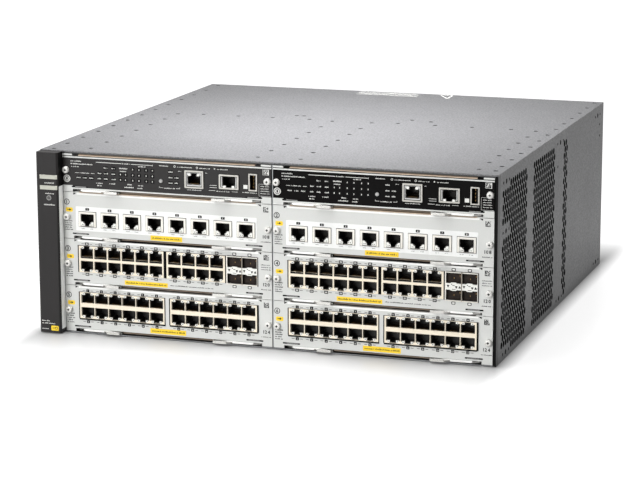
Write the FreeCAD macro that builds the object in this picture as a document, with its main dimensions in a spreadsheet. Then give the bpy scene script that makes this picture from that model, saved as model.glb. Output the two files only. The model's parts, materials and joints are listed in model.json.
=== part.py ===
import FreeCAD, Part
import math
import os
from types import SimpleNamespace

import Sketcher

# A modular network chassis: a folded sheet-metal case, four rows of two plug-in modules at the
# front, and a fan tray over two power supplies at the rear. +X is right as seen from the front,
# the front faces -Y, +Z is up. The origin is the centre of the base of the whole outline.

# Driving dimensions in millimetres, and counts
SIZES = {
    # Case
    "chassis_width": 444.5,
    "chassis_depth": 450.9,
    "chassis_height": 175.3,
    "sheet": 1.2,
    "front_flange": 1.4,
    "cover_lip": 7.0,
    "cover_front_lip": 1.1,
    "cover_lip_setback": 18.0,
    "fit_gap": 0.1,
    # Bezel at the left of the front
    "bezel_width": 22.3,
    "bezel_reach": 11.0,
    "bezel_foot": 0.5,
    "bezel_head": 0.8,
    "bezel_wall": 2.0,
    "bezel_chamfer": 1.6,
    "bezel_rib": 1.6,
    "lens_width": 16.2,
    "lens_height": 4.0,
    "lens_inset": 4.0,
    "lens_thickness": 3.2,
    "lens_proud": 0.6,
    "power_lens_rise": 149.3,
    "fault_lens_rise": 139.1,
    "locator_rise": 131.4,
    "locator_inset": 13.0,
    "locator_radius": 2.4,
    # Slots of the card cage
    "module_width": 208.4,
    "slot_gap": 0.4,
    "divider": 0.8,
    "rows": 4,
    "row_pitch": 45.0,
    "row_foot": 1.4,
    "cage_depth": 276.0,
    "partition": 1.5,
    # Module faceplates
    "plate": 1.2,
    "module_height": 44.5,
    "manager_height": 36.2,
    "end_flange": 10.0,
    "lever_bay": 2.8,
    "top_notch": 0.4,
    "rail_notch": 1.6,
    "tray_flange": 1.2,
    "tray_depth": 17.0,
    "head_flange_depth": 9.0,
    "gasket_thickness": 0.8,
    "screw_inset": 3.6,
    "screw_rise": 20.8,
    "screw_head_radius": 2.9,
    "screw_head": 3.0,
    "jack_fit": 0.25,
    # Boards and their guides
    "board": 1.6,
    "board_rise": 8.9,
    "board_inset": 1.6,
    "board_front": 3.0,
    "board_depth": 254.0,
    "board_post": 20.0,
    "guide_reach": 3.2,
    "guide_height": 6.0,
    "guide_groove": 2.0,
    "guide_front": 18.0,
    "guide_length": 236.0,
    "plug_width": 96.0,
    "plug_height": 12.0,
    "plug_depth": 13.0,
    "sink_width": 62.0,
    "sink_depth": 54.0,
    "sink_height": 12.0,
    "sink_front": 96.0,
    "sink_wall": 3.0,
    "sink_slot": 14.0,
    "sink_pitch": 21.0,
    "sink_slots": 3,
    # Stacked jack blocks
    "port_pitch": 14.05,
    "port_width": 11.9,
    "port_height": 7.6,
    "clip_width": 5.6,
    "clip_height": 2.2,
    "port_depth": 12.0,
    "block_foot": 13.0,
    "block_top": 38.6,
    "block_depth": 17.0,
    "block_nose": 0.5,
    "block_wall": 2.4,
    "lower_port_foot": 13.8,
    "upper_port_foot": 28.2,
    "six_columns": 6,
    "four_columns": 4,
    "first_block_start": 14.6,
    "second_block_start": 106.8,
    "short_block_start": 103.6,
    # Cage for plug-in optical modules
    "cage_start": 163.6,
    "cage_width": 31.2,
    "cage_foot": 11.6,
    "cage_top": 38.8,
    "cage_length": 50.0,
    "cage_wall": 1.0,
    "cage_web": 6.0,
    # Single shielded jacks
    "shield_width": 17.4,
    "shield_height": 14.1,
    "shield_foot": 12.1,
    "shield_nose": 0.8,
    "shield_depth": 16.0,
    "shield_pitch": 22.72,
    "shield_start": 15.6,
    "shields": 8,
    "shield_drop": 0.7,
    "shield_clip": 3.7,
    # Connectors of the management modules
    "network_start": 123.6,
    "network_width": 18.4,
    "network_foot": 10.5,
    "network_height": 16.4,
    "console_start": 157.6,
    "console_width": 19.0,
    "console_foot": 11.6,
    "console_height": 13.4,
    "usb_start": 186.6,
    "usb_width": 8.2,
    "usb_foot": 11.2,
    "usb_height": 16.0,
    "usb_wall": 0.9,
    "usb_tongue": 2.0,
    # Mode button
    "button_start": 99.5,
    "button_rise": 15.3,
    "button_radius": 1.7,
    "button_gap": 0.25,
    "button_length": 7.6,
    "button_nose": 0.6,
    "button_travel": 1.0,
    "switch_width": 6.0,
    "switch_depth": 4.0,
    # Ejector levers
    "lever_plate": 1.6,
    "lever_rise": 0.5,
    "pivot_inset": 14.0,
    "pivot_depth": 6.6,
    "pivot_radius": 1.6,
    "pivot_gap": 0.08,
    "lever_eye": 4.4,
    "lever_length": 43.0,
    "lever_depth": 6.4,
    "lever_front": 0.4,
    "lever_neck": 4.0,
    "lever_shoulder": 5.3,
    "lever_heel": 2.2,
    "tab_width": 13.0,
    "tab_reach": 5.2,
    "tab_lip": 1.6,
    "tab_lip_height": 2.4,
    "nose_reach": 9.6,
    "nose_width": 3.4,
    # Midplane
    "midplane": 3.0,
    "midplane_gap": 0.3,
    # Vents in the sides
    "vent_length": 27.0,
    "vent_height": 14.0,
    "vent_pitch": 44.0,
    "vent_row": 24.0,
    "vent_foot": 5.0,
    "vent_rows": 3,
    "vent_columns": 2,
    "front_vents": 20.5,
    "middle_vents": 137.0,
    "rear_vents": 250.0,
    # Screw holes for rack ears in the sides
    "ear_front": 19.1,
    "ear_spacing": 21.1,
    "ear_low": 118.5,
    "ear_high": 165.0,
    "ear_hole_radius": 1.7,
    "ear_middle_radius": 2.2,
    # Rear bay
    "shelf_rise": 88.6,
    "bay_gap": 0.5,
    "supply_depth": 150.0,
    "supply_gap": 1.0,
    "supply_slot": 7.0,
    "supply_slot_height": 26.0,
    "supply_slot_depth": 5.0,
    "supply_slot_pitch": 17.0,
    "supply_slots": 5,
    "supply_slot_start": 78.0,
    "supply_slot_foot": 12.0,
    "supply_slot_rise": 33.0,
    "supply_slot_rows": 2,
    "inlet_start": 14.0,
    "inlet_foot": 14.0,
    "inlet_width": 28.0,
    "inlet_height": 21.0,
    "inlet_depth": 16.0,
    "blade_width": 2.2,
    "blade_height": 7.0,
    "blade_reach": 10.0,
    "inlet_blades": 3,
    "handle_post": 7.0,
    "handle_span": 76.0,
    "handle_reach": 22.0,
    "handle_inset": 92.0,
    "handle_bar": 8.0,
    "handle_drop": 4.0,
    "latch_width": 12.0,
    "latch_tip": 7.2,
    "latch_length": 30.0,
    "latch_plate": 2.0,
    "latch_lift": 0.3,
    "latch_inset": 18.0,
    "latch_drop": 14.0,
    "latch_pin": 2.2,
    # Fan tray
    "fans": 4,
    "fan_pitch": 104.0,
    "fan_radius": 37.0,
    "tray_shell": 44.0,
    "guard_hub": 15.0,
    "guard_slots": 5,
    "guard_slot_inner": 10.0,
    "guard_slot_outer": 28.0,
    "stator_depth": 12.0,
    "shaft_radius": 2.0,
    "shaft_gap": 0.06,
    "shaft_length": 20.0,
    "rotor_hub": 15.0,
    "rotor_depth": 20.0,
    "rotor_gap": 1.0,
    "blade_tip": 35.6,
    "blade_chord": 16.0,
    "blade_twist": 15.0,
    "blade_sheet": 1.6,
    "blades": 5,
    "knob_radius": 4.0,
    "knob_reach": 7.0,
    "knob_inset": 9.0,
    # Sides of the polygons that stand in for round forms
    "pin_sides": 6,
    "disc_sides": 12,
    "hub_sides": 12,
}

doc = FreeCAD.newDocument("modular_chassis_switch")
sheet = doc.addObject("Spreadsheet::Sheet", "Sizes")
for line, (alias, amount) in enumerate(SIZES.items(), start=1):
    sheet.set(f"A{line}", alias)
    sheet.set(f"B{line}", str(amount))
    sheet.setAlias(f"B{line}", alias)
doc.recompute()


class Length:
    """A number together with the sheet formula that gives it, so arithmetic keeps both."""

    def __init__(self, number, formula):
        self.number = number
        self.formula = formula

    def __add__(self, other):
        other = length(other)
        return Length(self.number + other.number, f"({self.formula} + {other.formula})")

    def __sub__(self, other):
        other = length(other)
        return Length(self.number - other.number, f"({self.formula} - {other.formula})")

    def __mul__(self, other):
        other = length(other)
        return Length(self.number * other.number, f"({self.formula} * {other.formula})")

    def __truediv__(self, other):
        other = length(other)
        return Length(self.number / other.number, f"({self.formula} / {other.formula})")

    def __neg__(self):
        return Length(-self.number, f"(0 - {self.formula})")

    __radd__ = __add__
    __rmul__ = __mul__

    def __rsub__(self, other):
        return length(other) - self


def length(amount):
    """The amount as a Length, whether it is one already or a plain number."""
    return amount if isinstance(amount, Length) else Length(float(amount), f"({float(amount)!r})")


size = SimpleNamespace(**{name: Length(float(amount), f"Sizes.{name}") for name, amount in SIZES.items()})

# Places that several pieces share
half_width = size.chassis_width / 2
cover_foot = size.chassis_height - size.sheet
front_reach = size.bezel_reach + size.lens_proud
front_y = front_reach - (front_reach + size.chassis_depth + size.handle_reach) / 2
cage_left = size.bezel_width - half_width
left_slot = cage_left + size.slot_gap
divider_left = left_slot + size.module_width + size.slot_gap
right_slot = divider_left + size.divider + size.slot_gap
wall_inner = half_width - size.sheet
board_top = size.board_rise + size.board
midplane_front = size.cage_depth - size.midplane
tray_top = size.lever_bay + size.tray_flange


# Building blocks


class Disc:
    """A circle of a sketch: its centre and its radius."""

    def __init__(self, across, up, radius):
        self.across = length(across)
        self.up = length(up)
        self.radius = length(radius)


def rectangle(left, low, right, high):
    """The four corners of an upright rectangle."""
    return [(left, low), (right, low), (right, high), (left, high)]


def regular(across, up, radius, kind):
    """The corners of a regular polygon about a centre, used for round forms with few facets."""
    sides = SIZES[kind]
    turns = [math.tau * (step + 0.5) / sides for step in range(sides)]
    return [(across + radius * math.cos(turn), up + radius * math.sin(turn)) for turn in turns]


def around(radius, kind):
    """The corner radius of a regular polygon whose flats lie at the given radius."""
    return radius / math.cos(math.pi / SIZES[kind])


def new_body(name):
    """An empty body with a label of its own."""
    body = doc.addObject("PartDesign::Body", name)
    body.Label = name
    return body


def origin_feature(body, role):
    """One of a body's own origin planes or axes."""
    return next(feature for feature in body.Origin.OriginFeatures if feature.Role == role)


def pin_point(sketch, geometry, point, across, up):
    """Ties one point of a sketch to two formulas."""
    for kind, amount in (("DistanceX", length(across)), ("DistanceY", length(up))):
        index = sketch.addConstraint(Sketcher.Constraint(kind, -1, 1, geometry, point, amount.number))
        sketch.setExpression(f"Constraints[{index}]", amount.formula)


def draw(sketch, outline):
    """Adds a closed polygon or a circle to a sketch, tied to the sheet."""
    first = sketch.GeometryCount
    if isinstance(outline, Disc):
        centre = FreeCAD.Vector(outline.across.number, outline.up.number, 0)
        sketch.addGeometry(Part.Circle(centre, FreeCAD.Vector(0, 0, 1), outline.radius.number), False)
        pin_point(sketch, first, 3, outline.across, outline.up)
        index = sketch.addConstraint(Sketcher.Constraint("Radius", first, outline.radius.number))
        sketch.setExpression(f"Constraints[{index}]", outline.radius.formula)
        return
    points = [(length(across), length(up)) for across, up in outline]
    corners = [FreeCAD.Vector(across.number, up.number, 0) for across, up in points]
    count = len(corners)
    for step in range(count):
        sketch.addGeometry(Part.LineSegment(corners[step], corners[(step + 1) % count]), False)
    for step in range(count):
        following = first + (step + 1) % count
        sketch.addConstraint(Sketcher.Constraint("Coincident", first + step, 2, following, 1))
    for step, (across, up) in enumerate(points):
        pin_point(sketch, first + step, 1, across, up)


# Each plane's role, and the sign of its normal along the axis that it faces
PLANES = {"XY": 1, "XZ": -1, "YZ": 1}


def sketch_on(body, plane, outlines, station):
    """A sketch on one of the body's origin planes, moved along that plane's axis to a station."""
    station = length(station)
    sketch = body.newObject("Sketcher::SketchObject", f"{body.Label}_outline")
    sketch.AttachmentSupport = (origin_feature(body, f"{plane}_Plane"), [""])
    sketch.MapMode = "FlatFace"
    offset = station * PLANES[plane]
    sketch.setExpression("AttachmentOffset.Base.z", offset.formula)
    for outline in outlines:
        draw(sketch, outline)
    return sketch


def pad(body, plane, outlines, near, far):
    """Material between two stations along the plane's axis."""
    feature = body.newObject("PartDesign::Pad", f"{body.Label}_pad")
    feature.Profile = sketch_on(body, plane, outlines, near)
    feature.setExpression("Length", (length(far) - near).formula)
    feature.Reversed = PLANES[plane] < 0
    body.Tip = feature
    return feature


def pocket(body, plane, outlines, near, far):
    """A cut between two stations along the plane's axis."""
    feature = body.newObject("PartDesign::Pocket", f"{body.Label}_pocket")
    feature.Profile = sketch_on(body, plane, outlines, near)
    feature.setExpression("Length", (length(far) - near).formula)
    feature.Reversed = PLANES[plane] > 0
    body.Tip = feature
    return feature


def row(body, features, axis, pitch, count):
    """Repeats features in a straight row."""
    pattern = body.newObject("PartDesign::LinearPattern", f"{body.Label}_row")
    pattern.Originals = features
    pattern.Direction = (origin_feature(body, f"{axis}_Axis"), [""])
    pattern.setExpression("Length", (pitch * (length(count) - 1)).formula)
    pattern.setExpression("Occurrences", length(count).formula)
    body.Tip = pattern
    return pattern


def grid(body, features, first, second):
    """Repeats features along two axes, each given as an axis, a pitch and a count."""
    pattern = row(body, features, *first)
    axis, pitch, count = second
    pattern.Direction2 = (origin_feature(body, f"{axis}_Axis"), [""])
    pattern.setExpression("Length2", (pitch * (length(count) - 1)).formula)
    pattern.setExpression("Occurrences2", length(count).formula)
    return pattern


def ring(body, features, axis, count):
    """Repeats features around one of the body's own axes."""
    pattern = body.newObject("PartDesign::PolarPattern", f"{body.Label}_ring")
    pattern.Originals = features
    pattern.Axis = (origin_feature(body, f"{axis}_Axis"), [""])
    pattern.Angle = 360
    pattern.setExpression("Occurrences", length(count).formula)
    body.Tip = pattern
    return pattern


def place(piece, across=0, back=0, up=0):
    """Ties a piece's placement to formulas."""
    for axis, amount in (("x", across), ("y", back), ("z", up)):
        piece.setExpression(f"Placement.Base.{axis}", length(amount).formula)
    return piece


def copy_of(form, name, across=0, back=0, up=0):
    """Another piece of the same form, at its own place."""
    link = doc.addObject("App::Link", name)
    link.LinkedObject = form
    link.Label = name
    return place(link, across, back, up)


def group(name, pieces):
    """Several separate solids that share a node."""
    compound = doc.addObject("Part::Compound", name)
    compound.Label = name
    compound.Links = pieces
    return compound


def mirrored(form, name):
    """The same form turned left to right."""
    mirror = doc.addObject("Part::Mirroring", name)
    mirror.Source = form
    mirror.Normal = FreeCAD.Vector(1, 0, 0)
    mirror.Label = name
    return mirror


nodes = []


def keep(piece, across=0, back=0, up=0):
    """Marks a piece as a node of its own, standing in the part's frame."""
    place(piece, across, length(front_y) + back, up)
    nodes.append(piece)
    return piece


# Case


def vents(body, start, columns):
    """Two interleaved grids of oblong holes through both side walls."""
    for shift in (0, 1):
        left = start + size.vent_pitch * shift / 2
        foot = size.vent_foot + size.vent_row * shift
        hole = rectangle(left, foot, left + size.vent_length, foot + size.vent_height)
        cut = pocket(body, "YZ", [hole], -half_width, half_width)
        grid(body, [cut], ("Y", size.vent_pitch, columns), ("Z", size.vent_row * 2, size.vent_rows))


def ear_holes():
    """Two rows of three screw holes for rack ears, the middle one of each row larger."""
    holes = []
    for rise in (size.ear_low, size.ear_high):
        for back in (size.ear_front, size.ear_front + size.ear_spacing):
            holes.append(Disc(back, rise, size.ear_hole_radius))
        middle = size.ear_front + size.ear_spacing / 2
        holes.append(regular(middle, rise, size.ear_middle_radius, "pin_sides"))
    return holes


def chassis_shell():
    """The floor and the two perforated sides, folded from one sheet, with their front flanges."""
    body = new_body("chassis_shell")
    section = [
        (-half_width, 0),
        (half_width, 0),
        (half_width, cover_foot),
        (wall_inner, cover_foot),
        (wall_inner, size.sheet),
        (-wall_inner, size.sheet),
        (-wall_inner, cover_foot),
        (-half_width, cover_foot),
    ]
    pad(body, "XZ", [section], 0, size.chassis_depth)
    left_flange = rectangle(-half_width, 0, cage_left, cover_foot)
    right_flange = rectangle(half_width - size.sheet - size.front_flange, 0, half_width, cover_foot)
    pad(body, "XZ", [left_flange], 0, size.sheet)
    pad(body, "XZ", [right_flange], 0, size.sheet)
    vents(body, size.front_vents, size.vent_columns)
    vents(body, size.middle_vents, size.vent_columns)
    vents(body, size.rear_vents, length(1))
    pocket(body, "YZ", ear_holes(), -half_width, half_width)
    return keep(body)


def top_cover():
    """The lid: a flat sheet with a short front lip and two side lips inside the walls."""
    body = new_body("top_cover")
    pad(body, "XY", [rectangle(-half_width, 0, half_width, size.chassis_depth)], cover_foot, size.chassis_height)
    front = rectangle(cage_left + size.partition, cover_foot - size.cover_front_lip,
                      wall_inner - size.front_flange - size.fit_gap, cover_foot)
    pad(body, "XZ", [front], 0, size.sheet)
    lip_outer = wall_inner - size.fit_gap
    lip_inner = lip_outer - size.sheet
    lips = [
        rectangle(lip_inner, cover_foot - size.cover_lip, lip_outer, cover_foot),
        rectangle(-lip_outer, cover_foot - size.cover_lip, -lip_inner, cover_foot),
    ]
    for lip in lips:
        pad(body, "XZ", [lip], size.cover_lip_setback, size.chassis_depth - size.cover_lip_setback)
    return keep(body)


def front_bezel():
    """The moulded cover at the left of the front, hollow behind, with its lens openings."""
    body = new_body("front_bezel")
    left = -half_width
    right = cage_left
    front = -size.bezel_reach
    chamfer = size.bezel_chamfer
    outline = [
        (left, 0),
        (left, front + chamfer),
        (left + chamfer, front),
        (right - chamfer, front),
        (right, front + chamfer),
        (right, 0),
    ]
    low = size.bezel_foot
    high = size.chassis_height - size.bezel_head
    wall = size.bezel_wall
    pad(body, "XY", [outline], low, high)
    pocket(body, "XZ", [rectangle(left + wall, low + wall, right - wall, high - wall)], front + wall, 0)
    windows = []
    for rise in (size.power_lens_rise, size.fault_lens_rise):
        windows.append(rectangle(left + size.lens_inset, rise, left + size.lens_inset + size.lens_width,
                                 rise + size.lens_height))
    windows.append(regular(left + size.locator_inset, size.locator_rise, size.locator_radius, "disc_sides"))
    pocket(body, "XZ", windows, front, front + wall)
    rib = (low + high) / 2
    pad(body, "XY", [rectangle(left + wall, front + wall, right - wall, 0)], rib, rib + size.bezel_rib)
    return keep(body)


def bezel_lenses():
    """Two light bars and a round lens, seated in the bezel's openings."""
    pieces = []
    left = -half_width
    front = -size.bezel_reach
    gap = size.fit_gap
    for name, rise in (("power_lens", size.power_lens_rise), ("fault_lens", size.fault_lens_rise)):
        body = new_body(name)
        bar = rectangle(left + size.lens_inset + gap, rise + gap,
                        left + size.lens_inset + size.lens_width - gap, rise + size.lens_height - gap)
        pad(body, "XZ", [bar], front - size.lens_proud, front + size.lens_thickness)
        pieces.append(body)
    body = new_body("locator_lens")
    disc = regular(left + size.locator_inset, size.locator_rise, size.locator_radius - gap, "disc_sides")
    pad(body, "XZ", [disc], front, front + size.lens_thickness)
    pieces.append(body)
    return keep(group("bezel_lenses", pieces))


def inner_partitions():
    """The left wall and the centre divider of the card cage, and the shelf of the rear bay."""
    left = new_body("cage_side_plate")
    pad(left, "XY", [rectangle(cage_left - size.partition, size.sheet, cage_left, size.cage_depth)],
        size.sheet, cover_foot)
    divider = new_body("centre_divider")
    pad(divider, "XY", [rectangle(divider_left, size.sheet, divider_left + size.divider, midplane_front)],
        size.sheet, cover_foot)
    shelf = new_body("rear_shelf")
    shelf_front = size.chassis_depth - size.supply_depth
    pad(shelf, "XY", [rectangle(-wall_inner, shelf_front, wall_inner, size.chassis_depth)],
        size.shelf_rise, size.shelf_rise + size.sheet)
    return keep(group("inner_partitions", [left, divider, shelf]))


def card_guides():
    """Grooved rails, one at each edge of each slot, fixed to the wall beside it."""
    rise = size.board_rise + size.board / 2
    low = rise - size.guide_height / 2
    high = rise + size.guide_height / 2
    groove_low = rise - size.guide_groove / 2
    groove_high = rise + size.guide_groove / 2
    lips = (left_slot + size.guide_reach, divider_left - size.slot_gap - size.guide_reach,
            right_slot + size.guide_reach, right_slot + size.module_width - size.guide_reach)
    walls = (cage_left, divider_left, divider_left + size.divider, wall_inner)
    edges = (left_slot, divider_left - size.slot_gap, right_slot, right_slot + size.module_width)
    turns = (1, -1, 1, -1)
    rails = []
    for column, (wall, lip, edge, turn) in enumerate(zip(walls, lips, edges, turns)):
        bottom = edge + size.board_inset * turn / 2
        section = [(wall, low), (lip, low), (lip, groove_low), (bottom, groove_low),
                   (bottom, groove_high), (lip, groove_high), (lip, high), (wall, high)]
        rail = new_body(f"guide_rail_{column + 1}")
        pad(rail, "XZ", [section], size.guide_front, size.guide_front + size.guide_length)
        for level in range(SIZES["rows"]):
            rise_of_row = size.row_foot + size.row_pitch * level
            rails.append(copy_of(rail, f"guide_{column + 1}_{level + 1}", up=rise_of_row))
    return keep(group("card_guides", rails))


def midplane_board():
    """The board at the back of the card cage, with a receptacle for each module."""
    body = new_body("midplane_board")
    top = cover_foot - size.cover_lip - size.fit_gap
    pad(body, "XZ", [rectangle(cage_left, size.sheet, wall_inner, top)], midplane_front, size.cage_depth)
    plug_end = size.board_front + size.board_depth + size.plug_depth
    for slot in (left_slot, right_slot):
        middle = slot + size.module_width / 2
        low = size.row_foot + board_top
        outline = rectangle(middle - size.plug_width / 2, low, middle + size.plug_width / 2,
                            low + size.plug_height)
        receptacle = pad(body, "XZ", [outline], plug_end + size.midplane_gap, midplane_front)
        row(body, [receptacle], "Z", size.row_pitch, size.rows)
    return keep(body)


# Modules. Their forms stand in a frame of their own: x from the module's left edge, y back from
# the faceplate's front, z from the module's foot.


def faceplate(name, height, notch, openings):
    """A folded plate with end flanges, a tray flange over the levers, pivots and captive screws.

    notch is how far the middle of the plate stays below its end flanges."""
    body = new_body(name)
    width = size.module_width
    flange = size.end_flange
    top = height - notch
    outline = [
        (0, 0),
        (flange, 0),
        (flange, size.lever_bay),
        (width - flange, size.lever_bay),
        (width - flange, 0),
        (width, 0),
        (width, height),
        (width - flange, height),
        (width - flange, top),
        (flange, top),
        (flange, height),
        (0, height),
    ]
    pad(body, "XZ", [outline], 0, size.plate)
    inner = flange + size.fit_gap
    pad(body, "XY", [rectangle(inner, 0, width - inner, size.tray_depth)], size.lever_bay, tray_top)
    pad(body, "XY", [rectangle(inner, 0, width - inner, size.head_flange_depth)],
        top - size.tray_flange, top)
    gasket = rectangle(inner, size.plate, width - inner, size.head_flange_depth)
    pad(body, "XY", [gasket], top, top + size.gasket_thickness)
    post_left = (width - size.board_post) / 2
    post = rectangle(post_left, size.board_front, post_left + size.board_post, size.tray_depth)
    pad(body, "XY", [post], tray_top, size.board_rise)
    pivots = [regular(across, size.pivot_depth, size.pivot_radius, "pin_sides")
              for across in (size.pivot_inset, width - size.pivot_inset)]
    pad(body, "XY", pivots, size.lever_rise / 2, size.lever_bay)
    pocket(body, "XZ", openings, 0, size.plate)
    heads = [regular(across, size.screw_rise, size.screw_head_radius, "pin_sides")
             for across in (size.screw_inset, width - size.screw_inset)]
    pad(body, "XZ", heads, -size.screw_head, 0)
    return body


def window(start, foot, width, height):
    """An opening in a faceplate, a little larger than the jack that fills it."""
    gap = size.jack_fit
    return rectangle(start - gap, foot - gap, start + width + gap, foot + height + gap)


def board(name, extras=()):
    """A circuit board with its rear connector and a slotted heat sink."""
    body = new_body(name)
    width = size.module_width
    edge = size.board_inset
    rear = size.board_front + size.board_depth
    pad(body, "XY", [rectangle(edge, size.board_front, width - edge, rear)], size.board_rise, board_top)
    middle = width / 2
    plug = rectangle(middle - size.plug_width / 2, rear - size.plug_depth, middle + size.plug_width / 2,
                     rear + size.plug_depth)
    pad(body, "XY", [plug], board_top, board_top + size.plug_height)
    sink = rectangle(middle - size.sink_width / 2, size.sink_front, middle + size.sink_width / 2,
                     size.sink_front + size.sink_depth)
    pad(body, "XY", [sink], board_top, board_top + size.sink_height)
    start = middle - size.sink_width / 2 + size.sink_wall
    slot = rectangle(start, size.sink_front, start + size.sink_slot, size.sink_front + size.sink_depth)
    cut = pocket(body, "XY", [slot], board_top + size.sink_wall, board_top + size.sink_height)
    row(body, [cut], "X", size.sink_pitch, size.sink_slots)
    for outline, low, high in extras:
        pad(body, "XY", [outline], low, high)
    return body


def port_outline(left, foot, clip_side, clip=size.clip_height):
    """A jack's mouth with its latch notch, clip high, above or below."""
    right = left + size.port_width
    top = foot + size.port_height
    notch_left = left + (size.port_width - size.clip_width) / 2
    notch_right = notch_left + size.clip_width
    if clip_side > 0:
        peak = top + clip
        return [(left, foot), (right, foot), (right, top), (notch_right, top), (notch_right, peak),
                (notch_left, peak), (notch_left, top), (left, top)]
    base = foot + clip
    return [(left, base), (notch_left, base), (notch_left, foot), (notch_right, foot),
            (notch_right, base), (right, base), (right, base + size.port_height), (left, base + size.port_height)]


def block_width(columns):
    """The width of a stacked block with this many columns."""
    return size.port_pitch * (length(columns) - 1) + size.port_width + size.block_wall * 2


def jack_block(name, columns):
    """A moulded block of stacked jacks, two rows high, standing on the board."""
    body = new_body(name)
    width = block_width(columns)
    pad(body, "XZ", [rectangle(0, size.block_foot, width, size.block_top)], -size.block_nose, size.block_depth)
    base = rectangle(0, board_top, width, size.block_foot)
    pad(body, "XZ", [base], size.plate + size.board_front, size.block_depth)
    for foot, side in ((size.lower_port_foot, -1), (size.upper_port_foot, 1)):
        mouth = port_outline(size.block_wall, foot, side)
        cut = pocket(body, "XZ", [mouth], -size.block_nose, size.port_depth - size.block_nose)
        row(body, [cut], "X", size.port_pitch, columns)
    return body


def optical_cage():
    """A folded cage with two over two bays for plug-in optical modules."""
    body = new_body("optical_cage")
    width = size.cage_width
    wall = size.cage_wall
    middle = (size.cage_foot + size.cage_top) / 2
    pad(body, "XZ", [rectangle(0, size.cage_foot, width, size.cage_top)], -size.block_nose, size.cage_length)
    base = rectangle(0, board_top, width, size.cage_foot)
    pad(body, "XZ", [base], size.plate + size.board_front, size.cage_length)
    bays = []
    for left, right in ((wall, (width - wall) / 2), ((width + wall) / 2, width - wall)):
        bays.append(rectangle(left, size.cage_foot + wall, right, middle - size.cage_web / 2))
        bays.append(rectangle(left, middle + size.cage_web / 2, right, size.cage_top - wall))
    pocket(body, "XZ", bays, -size.block_nose, size.cage_length - wall - size.block_nose)
    return body


def shielded_jack(name, width, foot, height, clip_side, drop, clip=size.clip_height):
    """A single jack in its metal shield, with a foot on the board; its mouth starts drop above foot."""
    body = new_body(name)
    pad(body, "XZ", [rectangle(0, foot, width, foot + height)], -size.shield_nose, size.shield_depth)
    base = rectangle(0, board_top, width, foot)
    if (length(foot) - board_top).number > 0:
        pad(body, "XZ", [base], size.plate + size.board_front, size.shield_depth)
    left = (width - size.port_width) / 2
    mouth = port_outline(left, foot + drop, clip_side, clip)
    pocket(body, "XZ", [mouth], -size.shield_nose, size.port_depth)
    return body


def usb_port():
    """An upright rectangular port with its tongue."""
    body = new_body("usb_port")
    wall = size.usb_wall
    low = size.usb_foot
    high = size.usb_foot + size.usb_height
    pad(body, "XZ", [rectangle(0, low, size.usb_width, high)], -size.shield_nose, size.shield_depth)
    base = rectangle(0, board_top, size.usb_width, low)
    pad(body, "XZ", [base], size.plate + size.board_front, size.shield_depth)
    pocket(body, "XZ", [rectangle(wall, low + wall, size.usb_width - wall, high - wall)],
           -size.shield_nose, size.port_depth)
    tongue = rectangle(size.usb_width - wall - size.usb_tongue, low + wall * 3, size.usb_width - wall,
                       high - wall * 3)
    pad(body, "XZ", [tongue], wall, size.port_depth)
    return body


def lever_form():
    """The left ejector lever about its pivot: an eye, an arm, a lipped finger tab and a cam nose."""
    body = new_body("lever_form")
    low = size.lever_rise
    high = size.lever_rise + size.lever_plate
    front = -size.pivot_depth - size.lever_front
    rear = front + size.lever_depth
    tip = size.lever_length
    tab = tip - size.tab_width
    reach = front - size.tab_reach
    eye = size.lever_eye
    arm = [
        (0, -size.lever_neck),
        (size.lever_shoulder, front),
        (tab - size.tab_reach, front),
        (tab, reach),
        (tip, reach),
        (tip, rear),
        (eye, rear),
        (0, size.lever_heel),
    ]
    pad(body, "XY", [regular(0, 0, eye, "pin_sides")], low, high)
    pad(body, "XY", [arm], low, high)
    pad(body, "XY", [rectangle(-size.nose_reach, 0, 0, size.nose_width)], low, high)
    lip = rectangle(tab, reach, tip, reach + size.tab_lip)
    pad(body, "XY", [lip], low, low + size.tab_lip_height)
    hole = regular(0, 0, around(size.pivot_radius + size.pivot_gap, "pin_sides"), "pin_sides")
    pocket(body, "XY", [hole], low, high)
    return body


def mode_button():
    """A round push button through the faceplate."""
    body = new_body("mode_button")
    pad(body, "XZ", [regular(0, 0, size.button_radius, "disc_sides")], -size.button_nose, size.button_length)
    return body


def eight_port_windows():
    """The openings of a module with eight single jacks."""
    return [window(size.shield_start + size.shield_pitch * port, size.shield_foot, size.shield_width,
                   size.shield_height) for port in range(SIZES["shields"])]


def block_windows(starts_and_columns):
    """The openings for stacked blocks."""
    height = size.block_top - size.block_foot
    return [window(start, size.block_foot, block_width(columns), height)
            for start, columns in starts_and_columns]


def manager_windows():
    """The openings of a management module: two jacks, an upright port and the button's hole."""
    return [
        window(size.network_start, size.network_foot, size.network_width, size.network_height),
        window(size.console_start, size.console_foot, size.console_width, size.console_height),
        window(size.usb_start, size.usb_foot, size.usb_width, size.usb_height),
        regular(size.button_start, size.button_rise, size.button_radius + size.button_gap, "disc_sides"),
    ]


def switch_block():
    """The small switch behind the mode button: its outline on the board and its height."""
    front = size.button_length + size.button_travel + size.button_gap
    left = size.button_start - size.switch_width / 2
    outline = rectangle(left, front, left + size.switch_width, front + size.switch_depth)
    return outline, board_top, size.button_rise + size.switch_width / 2


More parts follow.
